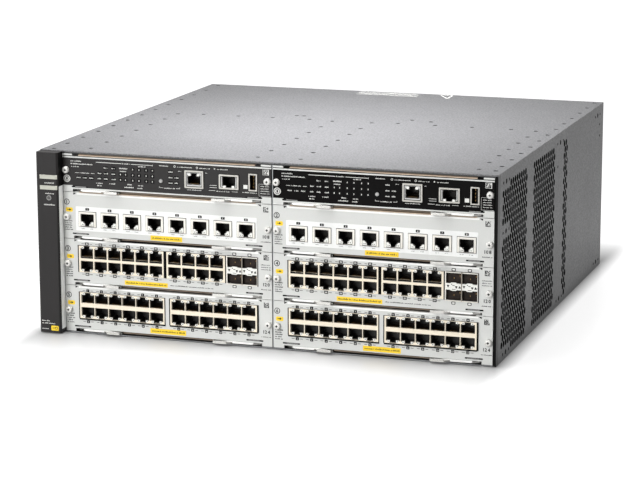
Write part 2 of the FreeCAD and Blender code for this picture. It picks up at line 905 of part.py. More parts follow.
def module(name, slot, level, plate_form, board_form, jacks, levers):
    """Places the pieces of one module in its slot and keeps each as a node."""
    foot = size.row_foot + size.row_pitch * level
    keep(copy_of(plate_form, f"{name}_faceplate"), slot, 0, foot)
    keep(copy_of(board_form, f"{name}_board"), slot, 0, foot)
    pieces = []
    for order, (form, start) in enumerate(jacks):
        pieces.append(copy_of(form, f"{name}_jack_{order + 1}", start, 0, 0))
    keep(group(f"{name}_jacks", pieces), slot, 0, foot)
    left, right = levers
    keep(copy_of(left, f"{name}_lever_left"), slot + size.pivot_inset, size.pivot_depth, foot)
    right_pivot = slot + size.module_width - size.pivot_inset
    keep(copy_of(right, f"{name}_lever_right"), right_pivot, size.pivot_depth, foot)


def modules():
    """The six port modules and the two management modules."""
    lever = lever_form()
    levers = (lever, mirrored(lever, "lever_form_right"))
    shield = shielded_jack("shielded_jack", size.shield_width, size.shield_foot, size.shield_height, -1,
                           size.shield_drop, size.shield_clip)
    six = jack_block("jack_block_six", size.six_columns)
    four = jack_block("jack_block_four", size.four_columns)
    network = shielded_jack("network_jack", size.network_width, size.network_foot, size.network_height, 1,
                            size.port_height / 2)
    console = shielded_jack("console_jack", size.console_width, size.console_foot, size.console_height, -1,
                            size.clip_height / 2)
    usb = usb_port()
    cage = optical_cage()
    plain_board = board("module_board")
    manager_board = board("manager_board", [switch_block()])
    eight_plate = faceplate("eight_port_plate", size.module_height, size.top_notch, eight_port_windows())
    twenty_openings = block_windows(((size.first_block_start, size.six_columns),
                                     (size.short_block_start, size.four_columns)))
    twenty_openings.append(window(size.cage_start, size.cage_foot, size.cage_width, size.cage_top - size.cage_foot))
    twenty_plate = faceplate("twenty_port_plate", size.module_height, size.top_notch, twenty_openings)
    full_plate = faceplate("full_port_plate", size.module_height, size.top_notch,
                           block_windows(((size.first_block_start, size.six_columns),
                                          (size.second_block_start, size.six_columns))))
    manager_plate = faceplate("manager_plate", size.manager_height, size.rail_notch, manager_windows())
    single_jacks = [(shield, size.shield_start + size.shield_pitch * port) for port in range(SIZES["shields"])]
    twenty_jacks = [(six, size.first_block_start), (four, size.short_block_start)]
    full_jacks = [(six, size.first_block_start), (six, size.second_block_start)]
    manager_jacks = [(network, size.network_start), (console, size.console_start), (usb, size.usb_start)]
    rows = (
        (("e", "f"), full_plate, full_jacks),
        (("c", "d"), twenty_plate, twenty_jacks),
        (("a", "b"), eight_plate, single_jacks),
    )
    slots = (left_slot, right_slot)
    for level, (letters, plate_form, jacks) in enumerate(rows):
        for letter, slot in zip(letters, slots):
            module(f"module_{letter}", slot, level, plate_form, plain_board, jacks, levers)
    for letter, slot in zip(("c", "d"), slots):
        keep(copy_of(cage, f"module_{letter}_optical_cage"), slot + size.cage_start, 0,
             size.row_foot + size.row_pitch)
    button = mode_button()
    for side, slot in zip(("left", "right"), slots):
        top_row = SIZES["rows"] - 1
        module(f"manager_{side}", slot, top_row, manager_plate, manager_board, manager_jacks, levers)
        keep(copy_of(button, f"manager_{side}_button"), slot + size.button_start, 0,
             size.row_foot + size.row_pitch * top_row + size.button_rise)


# Rear bay


def supply_width():
    """The width of one power supply."""
    return wall_inner - size.bay_gap - size.supply_gap / 2


def supply_case():
    """A power supply: a closed case with slotted vents, an inlet, a pull handle and a latch pin."""
    body = new_body("supply_case")
    width = supply_width()
    low = size.sheet + size.bay_gap
    high = size.shelf_rise - size.bay_gap
    rear = size.chassis_depth
    pad(body, "XZ", [rectangle(0, low, width, high)], rear - size.supply_depth, rear)
    left = size.supply_slot_start
    foot = low + size.supply_slot_foot
    slot = rectangle(left, foot, left + size.supply_slot, foot + size.supply_slot_height)
    cut = pocket(body, "XZ", [slot], rear - size.supply_slot_depth, rear)
    grid(body, [cut], ("X", size.supply_slot_pitch, size.supply_slots),
         ("Z", size.supply_slot_rise, size.supply_slot_rows))
    inlet = rectangle(size.inlet_start, low + size.inlet_foot, size.inlet_start + size.inlet_width,
                      low + size.inlet_foot + size.inlet_height)
    pocket(body, "XZ", [inlet], rear - size.inlet_depth, rear)
    blades = []
    blades_across = SIZES["inlet_blades"]
    for step in range(blades_across):
        middle = size.inlet_start + size.inlet_width * (step + 1) / (blades_across + 1)
        centre = low + size.inlet_foot + size.inlet_height / 2
        blades.append(rectangle(middle - size.blade_width / 2, centre - size.blade_height / 2,
                                middle + size.blade_width / 2, centre + size.blade_height / 2))
    pad(body, "XZ", blades, rear - size.inlet_depth, rear - size.inlet_depth + size.blade_reach)
    pull_left = width - size.handle_inset
    pull_right = pull_left + size.handle_span
    bar_low = high - size.handle_bar - size.handle_drop
    post = size.handle_post
    reach = rear + size.handle_reach
    pull = [
        (pull_left, rear),
        (pull_right, rear),
        (pull_right, reach),
        (pull_left, reach),
    ]
    grip = rectangle(pull_left + post, rear, pull_right - post, reach - post)
    pad(body, "XY", [pull], bar_low, bar_low + size.handle_bar)
    pocket(body, "XY", [grip], bar_low, bar_low + size.handle_bar)
    pin = regular(size.latch_inset, high - size.latch_drop, size.latch_pin, "pin_sides")
    pad(body, "XZ", [pin], rear, rear + size.latch_plate + size.latch_lift * 2)
    return body


def supply_latch():
    """A flat latch that turns on the case's pin."""
    body = new_body("supply_latch")
    half = size.latch_width / 2
    tip = size.latch_tip / 2
    arm = [(0, -half), (size.latch_length, -tip), (size.latch_length, tip), (0, half)]
    pad(body, "XZ", [regular(0, 0, half, "disc_sides")], 0, size.latch_plate)
    pad(body, "XZ", [arm], 0, size.latch_plate)
    hole = regular(0, 0, around(size.latch_pin + size.pivot_gap, "pin_sides"), "pin_sides")
    pocket(body, "XZ", [hole], 0, size.latch_plate)
    return body


def power_supplies():
    """Two power supplies side by side, each with its latch."""
    case = supply_case()
    latch = supply_latch()
    high = size.shelf_rise - size.bay_gap
    starts = (size.bay_gap - wall_inner, size.supply_gap / 2)
    for side, start in zip(("left", "right"), starts):
        keep(copy_of(case, f"power_supply_{side}"), start, 0, 0)
        keep(copy_of(latch, f"power_supply_{side}_latch"), start + size.latch_inset,
             size.chassis_depth + size.latch_lift, high - size.latch_drop)


def fan_middle():
    """The height of the fans' axes."""
    return (size.shelf_rise + size.sheet + cover_foot) / 2


def guard_openings(centre, middle):
    """The slots of one fan guard, set round the fan's axis."""
    start = size.guard_hub + size.sheet
    inner = size.guard_slot_inner / 2
    outer = size.guard_slot_outer / 2
    wedge = [(-inner, start), (inner, start), (outer, size.fan_radius), (-outer, size.fan_radius)]
    openings = []
    for step in range(SIZES["guard_slots"]):
        turn = math.tau * (step + 0.5) / SIZES["guard_slots"]
        along, side = math.cos(turn), math.sin(turn)
        openings.append([(centre + across * along - out * side, middle + across * side + out * along)
                         for across, out in wedge])
    return openings


def fan_tray():
    """The fan carrier: a rear plate with slotted guards, its shelves, motor stators, a pull and knobs."""
    body = new_body("fan_tray")
    half = wall_inner - size.cover_lip / 2 - size.fit_gap
    low = size.shelf_rise + size.sheet + size.bay_gap
    high = cover_foot - size.bay_gap
    rear = size.chassis_depth
    inner = rear - size.sheet
    section = rectangle(-half, low, half, high)
    inside = rectangle(-half + size.sheet, low + size.sheet, half - size.sheet, high - size.sheet)
    pad(body, "XZ", [section, inside], rear - size.tray_shell, rear)
    pad(body, "XZ", [section], inner, rear)
    middle = fan_middle()
    first = -size.fan_pitch * (size.fans - 1) / 2
    cut = pocket(body, "XZ", guard_openings(first, middle), inner, rear)
    row(body, [cut], "X", size.fan_pitch, size.fans)
    back = inner - size.stator_depth
    stator = pad(body, "XZ", [regular(first, middle, size.guard_hub, "hub_sides")], back, inner)
    shaft = pad(body, "XZ", [regular(first, middle, size.shaft_radius, "pin_sides")],
                back - size.shaft_length, back)
    row(body, [stator, shaft], "X", size.fan_pitch, size.fans)
    knobs = [regular(across, middle, size.knob_radius, "disc_sides")
             for across in (-half + size.knob_inset, half - size.knob_inset)]
    pad(body, "XZ", knobs, rear, rear + size.knob_reach)
    reach = rear + size.handle_reach
    foot = middle - size.fan_radius / 2
    head = middle + size.fan_radius / 2
    pull = rectangle(-size.handle_bar / 2, foot, size.handle_bar / 2, head)
    pad(body, "XZ", [pull], rear, reach)
    grip = rectangle(rear, foot + size.handle_post, reach - size.handle_post, head - size.handle_post)
    pocket(body, "YZ", [grip], -size.handle_bar / 2, size.handle_bar / 2)
    return keep(body)


def fan_rotors():
    """Identical rotors, each running on its stator's shaft."""
    form = new_body("fan_rotor_form")
    depth = size.rotor_depth
    pad(form, "XZ", [regular(0, 0, size.rotor_hub, "hub_sides")], 0, depth)
    low = (depth - size.blade_chord) / 2
    high = (depth + size.blade_chord) / 2
    twist = size.blade_twist / 2
    thick = size.blade_sheet
    section = [(low, -twist), (low + thick, -twist), (high, twist), (high - thick, twist)]
    blade = pad(form, "YZ", [section], size.rotor_hub - size.sheet * 2, size.blade_tip)
    ring(form, [blade], "Y", size.blades)
    bore = regular(0, 0, around(size.shaft_radius + size.shaft_gap, "pin_sides"), "pin_sides")
    pocket(form, "XZ", [bore], 0, depth)
    back = size.chassis_depth - size.sheet - size.stator_depth - size.rotor_gap - depth
    first = -size.fan_pitch * (size.fans - 1) / 2
    for fan in range(SIZES["fans"]):
        keep(copy_of(form, f"fan_rotor_{fan + 1}"), first + size.fan_pitch * fan, back, fan_middle())


def check_and_export():
    """Stops on any failed object or invalid shape, then writes one file for each node."""
    doc.recompute()
    failed = [item.Label for item in doc.Objects if {"Invalid", "Error"} & set(item.State)]
    if failed:
        raise RuntimeError(f"failed objects: {failed}")
    os.makedirs("parts", exist_ok=True)
    for piece in nodes:
        shape = Part.getShape(piece)
        if shape.isNull() or not shape.isValid() or not shape.Solids:
            raise RuntimeError(f"bad shape: {piece.Label}")
        solids = shape.Solids
        kept = solids[0] if len(solids) == 1 else Part.makeCompound(solids)
        kept.exportStep(f"parts/{piece.Label}.step")
    print(f"{len(nodes)} nodes written")


chassis_shell()
top_cover()
front_bezel()
bezel_lenses()
inner_partitions()
card_guides()
midplane_board()
modules()
power_supplies()
fan_tray()
fan_rotors()
check_and_export()
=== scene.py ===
# %% [markdown]
# # A modular network chassis, rendered around its CAD model
# The real object is a steel case, four rack units high. Its front holds eight plug-in modules
# with rows of sockets, its sides are punched for air, and its back carries fans and two power
# supplies. The CAD model already has the sizes and everything that moves. This lesson adds what
# the eye sees from close by: true vent holes, printed marks, lamps, contacts and finishes.

import json
import math

import bpy
import numpy as np
from mathutils import Matrix, Vector
from mathutils.geometry import delaunay_2d_cdt


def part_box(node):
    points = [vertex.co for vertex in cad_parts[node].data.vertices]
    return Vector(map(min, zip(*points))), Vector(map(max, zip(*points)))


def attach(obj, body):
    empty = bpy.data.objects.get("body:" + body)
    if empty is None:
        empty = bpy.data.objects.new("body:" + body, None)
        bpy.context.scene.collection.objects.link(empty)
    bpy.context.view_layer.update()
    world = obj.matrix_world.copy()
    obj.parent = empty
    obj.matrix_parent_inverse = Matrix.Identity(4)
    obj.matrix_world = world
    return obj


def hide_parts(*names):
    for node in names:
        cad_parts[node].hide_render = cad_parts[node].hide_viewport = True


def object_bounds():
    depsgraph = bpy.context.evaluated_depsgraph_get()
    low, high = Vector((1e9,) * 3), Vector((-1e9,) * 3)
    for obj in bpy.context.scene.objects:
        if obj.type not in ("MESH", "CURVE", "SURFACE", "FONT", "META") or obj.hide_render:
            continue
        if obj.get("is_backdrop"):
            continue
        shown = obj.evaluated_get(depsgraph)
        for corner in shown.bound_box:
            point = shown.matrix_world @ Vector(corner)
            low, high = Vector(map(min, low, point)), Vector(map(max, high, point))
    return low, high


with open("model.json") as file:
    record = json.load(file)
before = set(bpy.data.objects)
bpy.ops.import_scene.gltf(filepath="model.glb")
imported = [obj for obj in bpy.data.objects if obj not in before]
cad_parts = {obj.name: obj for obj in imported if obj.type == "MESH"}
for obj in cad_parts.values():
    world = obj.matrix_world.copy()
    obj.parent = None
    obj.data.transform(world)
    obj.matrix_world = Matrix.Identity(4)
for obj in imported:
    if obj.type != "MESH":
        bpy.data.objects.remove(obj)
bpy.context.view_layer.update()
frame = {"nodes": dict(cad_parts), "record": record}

MM = 0.001
shell_low, shell_high = (np.array(corner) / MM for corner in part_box("chassis_shell"))
cover_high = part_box("top_cover")[1].z / MM
front = shell_low[1]
half_width = shell_high[0]
case_depth = shell_high[1] - shell_low[1]
wall_top = shell_high[2]
print("case, mm:", round(2 * half_width, 1), "wide", round(case_depth, 1), "deep", round(cover_high, 1), "high")

# %% [markdown]
# ## Shapes as whole arrays
# Every new shape here is a surface worked out with numpy. A shape is a pair: an array of points
# and a list of faces. Building blocks keep that pair simple, so that a hundred contacts cost no
# more code than one. Points are in millimetres: x from the middle, y back from the case's front,
# z up from its base. Boxes, lofts and turned forms cover almost all hardware on this front.

# %% Boxes, lofts and turned forms
BOX_CORNERS = np.array([[x, y, z] for z in (0, 1) for y in (0, 1) for x in (0, 1)])
BOX_FACES = np.array([[0, 2, 3, 1], [4, 5, 7, 6], [0, 1, 5, 4], [2, 6, 7, 3], [0, 4, 6, 2], [1, 3, 7, 5]])


def boxes(lows, highs):
    """Boxes between corners: each point is the low corner plus a pattern of 0 and 1 times the size."""
    lows, highs = np.atleast_2d(lows).astype(float), np.atleast_2d(highs).astype(float)
    points = lows[:, None] + BOX_CORNERS * (highs - lows)[:, None]
    faces = BOX_FACES + 8 * np.arange(len(lows))[:, None, None]
    return points.reshape(-1, 3), faces.reshape(-1, 4).tolist()


def loft(rings):
    """Rings of points joined by bands of four-sided faces, with one face over each end ring."""
    rings = np.asarray(rings, float)
    levels, count = rings.shape[:2]
    here = np.arange(count)
    after = np.roll(here, -1)
    start = np.arange(levels - 1)[:, None] * count
    bands = np.stack([here + start, here + start + count, after + start + count, after + start], -1)
    ends = [here.tolist(), (here[::-1] + (levels - 1) * count).tolist()]
    return rings.reshape(-1, 3), bands.reshape(-1, 4).tolist() + ends


def prism(outline, near, far):
    """An outline in x and z, anticlockwise from the front, carried back from y near to y far."""
    outline = np.asarray(outline, float)
    return loft([np.insert(outline, 1, depth, axis=1) for depth in (near, far)])


def turned(profile, sides=24):
    """A profile of (radius, depth) turned about the y axis: x and z are radius times cos and sin."""
    radius, depth = np.asarray(profile, float).T[..., None]
    turn = math.tau * np.arange(sides) / sides
    along = np.broadcast_to(depth, (len(depth), sides))
    return loft(np.stack([radius * np.cos(turn), along, radius * np.sin(turn)], -1))


def repeat(shape, places):
    """One shape at many places: its points plus each place, its faces renumbered for each copy."""
    points, faces = shape
    places = np.atleast_2d(places).astype(float)
    copies = (points + places[:, None]).reshape(-1, 3)
    return copies, [[p + step * len(points) for p in face] for step in range(len(places)) for face in faces]


def join(*shapes):
    """Several shapes as one: the points in a row, and each face list raised by the points before it."""
    starts = np.cumsum([0] + [len(points) for points, _ in shapes])
    faces = [[p + int(start) for p in face] for start, (_, faces) in zip(starts, shapes) for face in faces]
    return np.concatenate([points for points, _ in shapes]), faces


def row(across, up=0.0):
    """Places side by side at one height, as points to repeat a shape at."""
    return np.stack([across, np.zeros(len(across)), np.full(len(across), up)], 1)


def rounded(left, low, right, high, radius, steps=4):
    """A rectangle's outline with round corners: a quarter circle about each inner corner."""
    turn = np.linspace(0, math.pi / 2, steps + 1)
    quarter = np.stack([np.cos(turn), np.sin(turn)], 1) * radius
    spin = [(1, 0, 0, 1), (0, -1, 1, 0), (-1, 0, 0, -1), (0, 1, -1, 0)]
    centres = window(left, low, right, high, -radius)
    turns = zip(spin, centres[2:] + centres[:2])
    return np.concatenate([quarter @ np.reshape(m, (2, 2)).T + c for m, c in turns])


def window(left, low, right, high, grow=0.0):
    """The four corners of a rectangle, moved outwards on all sides if asked."""
    left, low, right, high = left - grow, low - grow, right + grow, high + grow
    return [(left, low), (right, low), (right, high), (left, high)]


def show(name, data):
    """A new object in the scene, for a mesh, a text, a lamp or a camera."""
    made = bpy.data.objects.new(name, data)
    bpy.context.scene.collection.objects.link(made)
    return made


def put(name, shape, body, material, stands_for=()):
    """Makes a mesh of a shape, gives it its finish, and lets it ride on a body."""
    points, faces = shape
    mesh = bpy.data.meshes.new(name)
    mesh.from_pydata(((points + (0, front, 0)) * MM).tolist(), [], faces)
    mesh.materials.append(material)
    piece = show(name, mesh)
    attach(piece, body)
    if stands_for:
        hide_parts(*stands_for)


# %% [markdown]
# ## Sheets with holes
# The sides have hundreds of round vents in staggered rows. A boolean for each hole is slow and
# leaves ragged faces. A constrained triangulation is quick and clean: it fills the space between
# the outline and the hole rims, and the same triangles serve both faces of the sheet.

# %% A pierced sheet
def circles(centres, radius, sides=12):
    """The rims of round holes: the centre plus the radius times cos and sin, one row per hole."""
    turn = math.tau * (np.arange(sides) + 0.5) / sides
    rim = np.stack([np.cos(turn), np.sin(turn)], 1)
    radius = np.reshape(np.broadcast_to(radius, len(centres)), (-1, 1, 1))
    return np.asarray(centres, float)[:, None] + rim * radius


def pierced(outline, rims, low, high, place):
    """A sheet from level low to level high: flat triangles between outline and rims at both levels,
    and a band of faces down each loop. place turns (a, b, level) arrays into x, y, z."""
    loops = [np.asarray(loop, float) for loop in (outline, *rims)]
    starts = np.cumsum([0] + [len(loop) for loop in loops])
    flat = np.concatenate(loops)
    count = len(flat)
    rings = [np.arange(start, end).tolist() for start, end in zip(starts, starts[1:])]
    edges = [(ring[i - 1], ring[i]) for ring in rings for i in range(len(ring))]
    found = delaunay_2d_cdt([Vector(p) for p in flat], edges, rings, 1, 1e-6)
    order = [old[0] if old else -1 for old in found[3]]
    keep = [[order[p] for p in face] for face, inside in zip(found[2], found[5]) if inside == [0]]
    walls = []
    for step, ring in enumerate(rings):
        path = ring if step == 0 else ring[::-1]
        walls += [[a, b, b + count, a + count] for a, b in zip(path, path[1:] + path[:1])]
    faces = [[p + count for p in face] for face in keep] + [face[::-1] for face in keep] + walls
    return np.concatenate([place(*flat.T, np.full(count, float(level))) for level in (low, high)]), faces


def upright(a, b, level):
    """A sheet that faces +x: a runs back, b runs up, and the level is x."""
    return np.stack([level, a, b], 1)


def lying(a, b, level):
    """A sheet that faces +z: a runs across, b runs back, and the level is z."""
    return np.stack([a, b, level], 1)


def facing(a, b, level):
    """A sheet that faces the viewer: a runs across, b runs up, and the level is how far it stands out."""
    return np.stack([a, -level, b], 1)


def surround(outline, opening, low, high):
    """A flat frame that faces the viewer: an outline with one opening."""
    return pierced(outline, [opening], low, high, facing)


# %% [markdown]
# ## Finishes from shared node groups
# Three effects come back in many finishes. Fine grain gives powder coat and moulded plastic their
# speckle. Long streaks are the brush marks of sheet metal. Depth shading is painted shade: it lets a
# socket be light at its rim and black inside. A fourth group paints shade on the inner side of the
# case and along its front edges. Each is built once and puts out a mask from 0 to 1, and each
# material mixes its own colours by that mask. All of them read Object coordinates, so the pattern
# stays on the piece when the piece moves.

# %% Node helpers
def node(tree, kind, inputs=None, **settings):
    """Adds a node, sets its properties, and feeds its inputs with values or with other outputs."""
    made = tree.nodes.new("ShaderNode" + kind)
    for key, value in settings.items():
        setattr(made, key, value)
    for key, value in (inputs or {}).items():
        if isinstance(value, bpy.types.NodeSocket):
            tree.links.new(value, made.inputs[key])
        else:
            made.inputs[key].default_value = value
    return made


def maths(tree, operation, *values, kind="Math"):
    """One sum on one or two values, which may be outputs of other nodes."""
    return node(tree, kind, dict(enumerate(values)), operation=operation).outputs[0]


def place_of(tree):
    """Where each point lies on its own object."""
    return node(tree, "TexCoord").outputs["Object"]


def mix(tree, factor, first, second):
    """A colour between two colours: the first where the factor is 0, the second where it is 1."""
    return node(tree, "Mix", {0: factor, 6: first, 7: second}, data_type="RGBA").outputs[2]


def spread(tree, value, low, high, to_low=0.0, to_high=1.0):
    """A value stretched from one range to another, and held inside it."""
    return node(tree, "MapRange", {0: value, 1: low, 2: high, 3: to_low, 4: to_high}).outputs[0]


def new_group(name, inputs):
    """An empty node group with float inputs and one float output called Mask."""
    tree = bpy.data.node_groups.new(name, "ShaderNodeTree")
    for label, value in inputs.items():
        tree.interface.new_socket(label, in_out="INPUT", socket_type="NodeSocketFloat").default_value = value
    tree.interface.new_socket("Mask", in_out="OUTPUT", socket_type="NodeSocketFloat")
    entry = tree.nodes.new("NodeGroupInput").outputs
    leave = tree.nodes.new("NodeGroupOutput").inputs["Mask"]
    return tree, entry, leave


def new_material(name):
    """An empty material, its node tree and its surface shader."""
    material = bpy.data.materials.new(name)
    material.use_nodes = True
    return material, material.node_tree, material.node_tree.nodes["Principled BSDF"]


# %% The shared groups
def grain_group():
    """Fine speckle: a fractal noise on Object coordinates, its middle values stretched."""
    tree, entry, leave = new_group("fine_grain", {"Scale": 900.0, "Contrast": 0.5})
    noise = node(tree, "TexNoise", {"Vector": place_of(tree), "Scale": entry["Scale"], "Detail": 2.0,
                                    "Roughness": 0.6})
    half = maths(tree, "MULTIPLY", entry["Contrast"], 0.5)
    low, high = maths(tree, "SUBTRACT", 0.5, half), maths(tree, "ADD", 0.5, half)
    tree.links.new(spread(tree, noise.outputs["Fac"], low, high), leave)
    return tree


def streak_group():
    """Brush marks: noise on Object coordinates that are squeezed along x, so that spots become lines."""
    tree, entry, leave = new_group("brushed_streaks", {"Fineness": 1400.0, "Length": 0.03})
    squeeze = node(tree, "CombineXYZ", {0: entry["Length"], 1: 1.0, 2: 1.0}).outputs[0]
    long = maths(tree, "MULTIPLY", place_of(tree), squeeze, kind="VectorMath")
    noise = node(tree, "TexNoise", {"Vector": long, "Scale": entry["Fineness"], "Detail": 3.0})
    tree.links.new(spread(tree, noise.outputs["Fac"], 0.3, 0.7), leave)
    return tree


def depth_group():
    """Shade inside openings: 0 in front of a depth behind the front, and 1 beyond a second depth."""
    tree, entry, leave = new_group("shade_by_depth", {"Start": 0.0, "End": 0.002})
    back = node(tree, "SeparateXYZ", {0: place_of(tree)}).outputs["Y"]
    tree.links.new(spread(tree, back, entry["Start"], entry["End"]), leave)
    return tree


def shell_group(outer, top, low, face):
    """Painted shade: 1 on the shell's inner side and on its front edges, by position: closer to the middle
    than the outer skin and between floor and lid, or below the lid and in front of the face. 0 on the outer
    skin."""
    tree, entry, leave = new_group("painted_shade_inside_case", {"Outer": outer, "Top": top, "Low": low, "Face": face})
    across, back, up = node(tree, "SeparateXYZ", {0: place_of(tree)}).outputs
    below = maths(tree, "LESS_THAN", up, entry["Top"])
    above = maths(tree, "GREATER_THAN", up, entry["Low"])
    inside = maths(tree, "LESS_THAN", maths(tree, "ABSOLUTE", across), entry["Outer"])
    inside = maths(tree, "MULTIPLY", inside, maths(tree, "MULTIPLY", below, above))
    edge = maths(tree, "MULTIPLY", maths(tree, "LESS_THAN", back, entry["Face"]), below)
    tree.links.new(maths(tree, "MAXIMUM", inside, edge), leave)
    return tree


GRAIN, STREAK, DEPTH = grain_group(), streak_group(), depth_group()
CASE_SHADE = shell_group((half_width - 0.15) * MM, (wall_top - 0.05) * MM, 0.3 * MM, (front + 7.5) * MM)


# %% A finish from a colour and the groups
def mask(tree, group, inputs):
    """Places a shared group in a material and gives back its mask."""
    placed = tree.nodes.new("ShaderNodeGroup")
    placed.node_tree = group
    for label, value in inputs.items():
        placed.inputs[label].default_value = value
    return placed.outputs["Mask"]


def srgb(*levels):
    """A colour as a screen shows it, 0 to 255, turned into the linear values that shaders use."""
    share = np.array(levels, float) / 255
    linear = np.where(share <= 0.04045, share / 12.92, ((share + 0.055) / 1.055) ** 2.4)
    return (*linear.tolist(), 1.0)


def shade(colour, factor):
    """A colour made lighter or darker by a factor, kept below 1."""
    return tuple(min(1.0, part * factor) for part in colour[:3]) + (1.0,)


def finish(name, colour, roughness, metallic=0.0, change=0.08, grain=900.0, contrast=0.5, bump=0.0,
           streaks=False, dark_from=None, dark_depth=0.0015, dark=(0.004, 0.004, 0.004, 1.0), coat=0.0,
           gloss=0.5, shell=False):
    """A material: a colour that varies by grain or streaks, slow smudges in its roughness, a fine
    bump, and if dark_from is given, a dark colour of painted shade that takes over at that depth in
    openings. The case's own finish takes painted shade on its inner side and front edges."""
    material, tree, shader = new_material(name)
    fine = mask(tree, STREAK, {}) if streaks else mask(tree, GRAIN, {"Scale": grain, "Contrast": contrast})
    slow = mask(tree, GRAIN, {"Scale": 14.0, "Contrast": 0.8})
    surface = mix(tree, fine, shade(colour, 1 - change), shade(colour, 1 + change))
    surface = mix(tree, spread(tree, slow, 0.0, 1.0, 0.0, 0.5), surface, shade(colour, 1 + change / 3))
    # Painted shade in openings: a dark colour past a depth behind the front.
    if dark_from is not None:
        start = (front + dark_from) * MM
        surface = mix(tree, mask(tree, DEPTH, {"Start": start, "End": start + dark_depth}), surface, dark)
    # Painted shade on the case's inner side and along its front edges.
    if shell:
        surface = mix(tree, mask(tree, CASE_SHADE, {}), surface, dark)
    tree.links.new(surface, shader.inputs["Base Color"])
    tree.links.new(spread(tree, slow, 0.0, 1.0, roughness * 0.88, roughness * 1.12), shader.inputs["Roughness"])
    for label, value in (("Specular IOR Level", gloss), ("Metallic", metallic), ("Coat Weight", coat)):
        shader.inputs[label].default_value = value
    if bump:
        relief = node(tree, "Bump", {"Strength": 0.6, "Distance": bump * MM, "Height": fine})
        tree.links.new(relief.outputs[0], shader.inputs["Normal"])
    return material


# %% [markdown]
# ## The palette
# The case wears a fine speckled grey powder coat. The module plates are light satin metal, the
# bezel and the management plates dark plastic and print, and levers and shields are bare bright
# metal. Colours are written as the screen shows them, because the lamps are set to a plain level.

# %% Materials by the record's slot names
# The case's powder coat, with painted shade on its inner side and front edges.
powder_coat = finish("speckled_powder_coat", srgb(90, 90, 92), 0.36, 0.0, 0.6, 560.0, 0.24, 0.06, gloss=0.6,
                     shell=True)
# Painted shade in the sockets: the jacks' plastic and shields turn dark from a little behind the front.
IN_SOCKET = {"dark_depth": 0.0008, "dark": srgb(20, 17, 14)}
finishes = {
    "case_paint": powder_coat,
    "bezel_plastic": finish("charcoal_plastic", srgb(34, 32, 32), 0.42, 0.0, 0.08, 1500.0, 0.6, 0.02,
                            gloss=0.25),
    "lens": finish("frosted_light_bar", srgb(186, 186, 174), 0.3, 0.0, 0.05, 700.0, 0.6, coat=0.3),
    "zinc_sheet": finish("zinc_plated_sheet", srgb(150, 152, 154), 0.38, 0.6, 0.1, streaks=True),
    "guide_plastic": finish("black_guide_plastic", srgb(38, 38, 38), 0.5, 0.0, 0.1, 1200.0),
    "circuit_board": finish("green_board", srgb(28, 84, 46), 0.35, 0.0, 0.15, 500.0),
    "bright_sheet": finish("satin_module_plate", srgb(207, 208, 205), 0.4, 0.1, 0.03, 1200.0, 0.5, 0.01),
    "black_panel": finish("black_management_plate", srgb(33, 31, 31), 0.42, 0.0, 0.06, 1400.0, 0.5, 0.01,
                          gloss=0.25),
    "jack_plastic": finish("cream_jack_plastic", srgb(240, 229, 208), 0.45, 0.0, 0.03, 900.0, 0.5,
                           dark_from=-0.3, **IN_SOCKET),
    "jack_shield": finish("tinned_shield", srgb(214, 211, 203), 0.35, 0.55, 0.05, streaks=True,
                          dark_from=-0.4, **IN_SOCKET),
    "bare_steel": finish("bright_lever_steel", srgb(184, 183, 179), 0.26, 1.0, 0.14, streaks=True, bump=0.01),
    "button_plastic": finish("grey_button_plastic", srgb(170, 170, 168), 0.4),
    "latch_plastic": finish("blue_latch_plastic", srgb(62, 108, 150), 0.4, 0.0, 0.05, 900.0, 0.5, 0.01),
    "fan_plastic": finish("black_fan_plastic", srgb(36, 36, 37), 0.4, 0.0, 0.1, 1100.0, 0.5, 0.02),
}
slot_of = {part["node"]: part["material_slot"] for part in frame["record"]["subparts"]}
# The right management plate gets a deeper, less glossy black than the left one: painted shade.
manager_shade_black = finish("right_manager_plate_painted_shade", srgb(9, 8, 8), 0.5, 0.0, 0.06, 1400.0, 0.5, 0.01, gloss=0.06)
for name, piece in frame["nodes"].items():
    piece.data.materials.clear()
    piece.data.materials.append(manager_shade_black if name == "manager_right_faceplate" else finishes[slot_of[name]])
print("finishes on", len(slot_of), "CAD nodes")

# Dark print, also used for the painted shade outlines round the upper modules' shields.
dark_ink_and_shade = finish("dark_print_and_painted_shade", srgb(30, 30, 31), 0.5, change=0.05, gloss=0.2)
ink_light = finish("light_print", srgb(226, 226, 222), 0.5, change=0.03)
ink_yellow = finish("yellow_label", srgb(246, 208, 38), 0.45, change=0.03)
white_panel = finish("white_printed_panel", srgb(240, 241, 239), 0.45, change=0.02)
lamp_lens = finish("white_lamp_lens", srgb(236, 236, 230), 0.25, change=0.04, coat=0.4)
gold = finish("gold_contacts", srgb(124, 98, 62), 0.35, 1.0, 0.05)
gasket_cloth = finish("copper_gasket_cloth", srgb(208, 186, 163), 0.45, 0.1, 0.1, 2600.0)
# Matt black, both for parts that are black and for painted shade in vents, slits, recesses, notches, rims and
# gaps.
black_and_painted_shade = finish("matt_black_and_painted_shade", srgb(9, 9, 9), 0.6, gloss=0.1)
nickel = finish("dull_nickel", srgb(160, 160, 158), 0.32, 1.0, 0.14, 700.0, 0.4)
tin = finish("bright_tin", srgb(168, 166, 160), 0.3, 0.8, 0.1, streaks=True)
screw_metal = finish("pale_screw_metal", srgb(208, 207, 203), 0.35, 0.35, 0.16, 420.0, 0.3)
# Darker copies of the gasket's colour for the lower rows and the foot: painted shade.
dark_seal = finish("shaded_seal", srgb(30, 28, 27), 0.5, 0.3, 0.1, 2600.0, gloss=0.2)
grey_seal = finish("shaded_metal_seal", srgb(112, 108, 103), 0.4, 0.6, 0.15, 1200.0)
brown_seal = finish("shaded_brown_seal", srgb(112, 98, 82), 0.45, 0.2, 0.15, 1600.0)
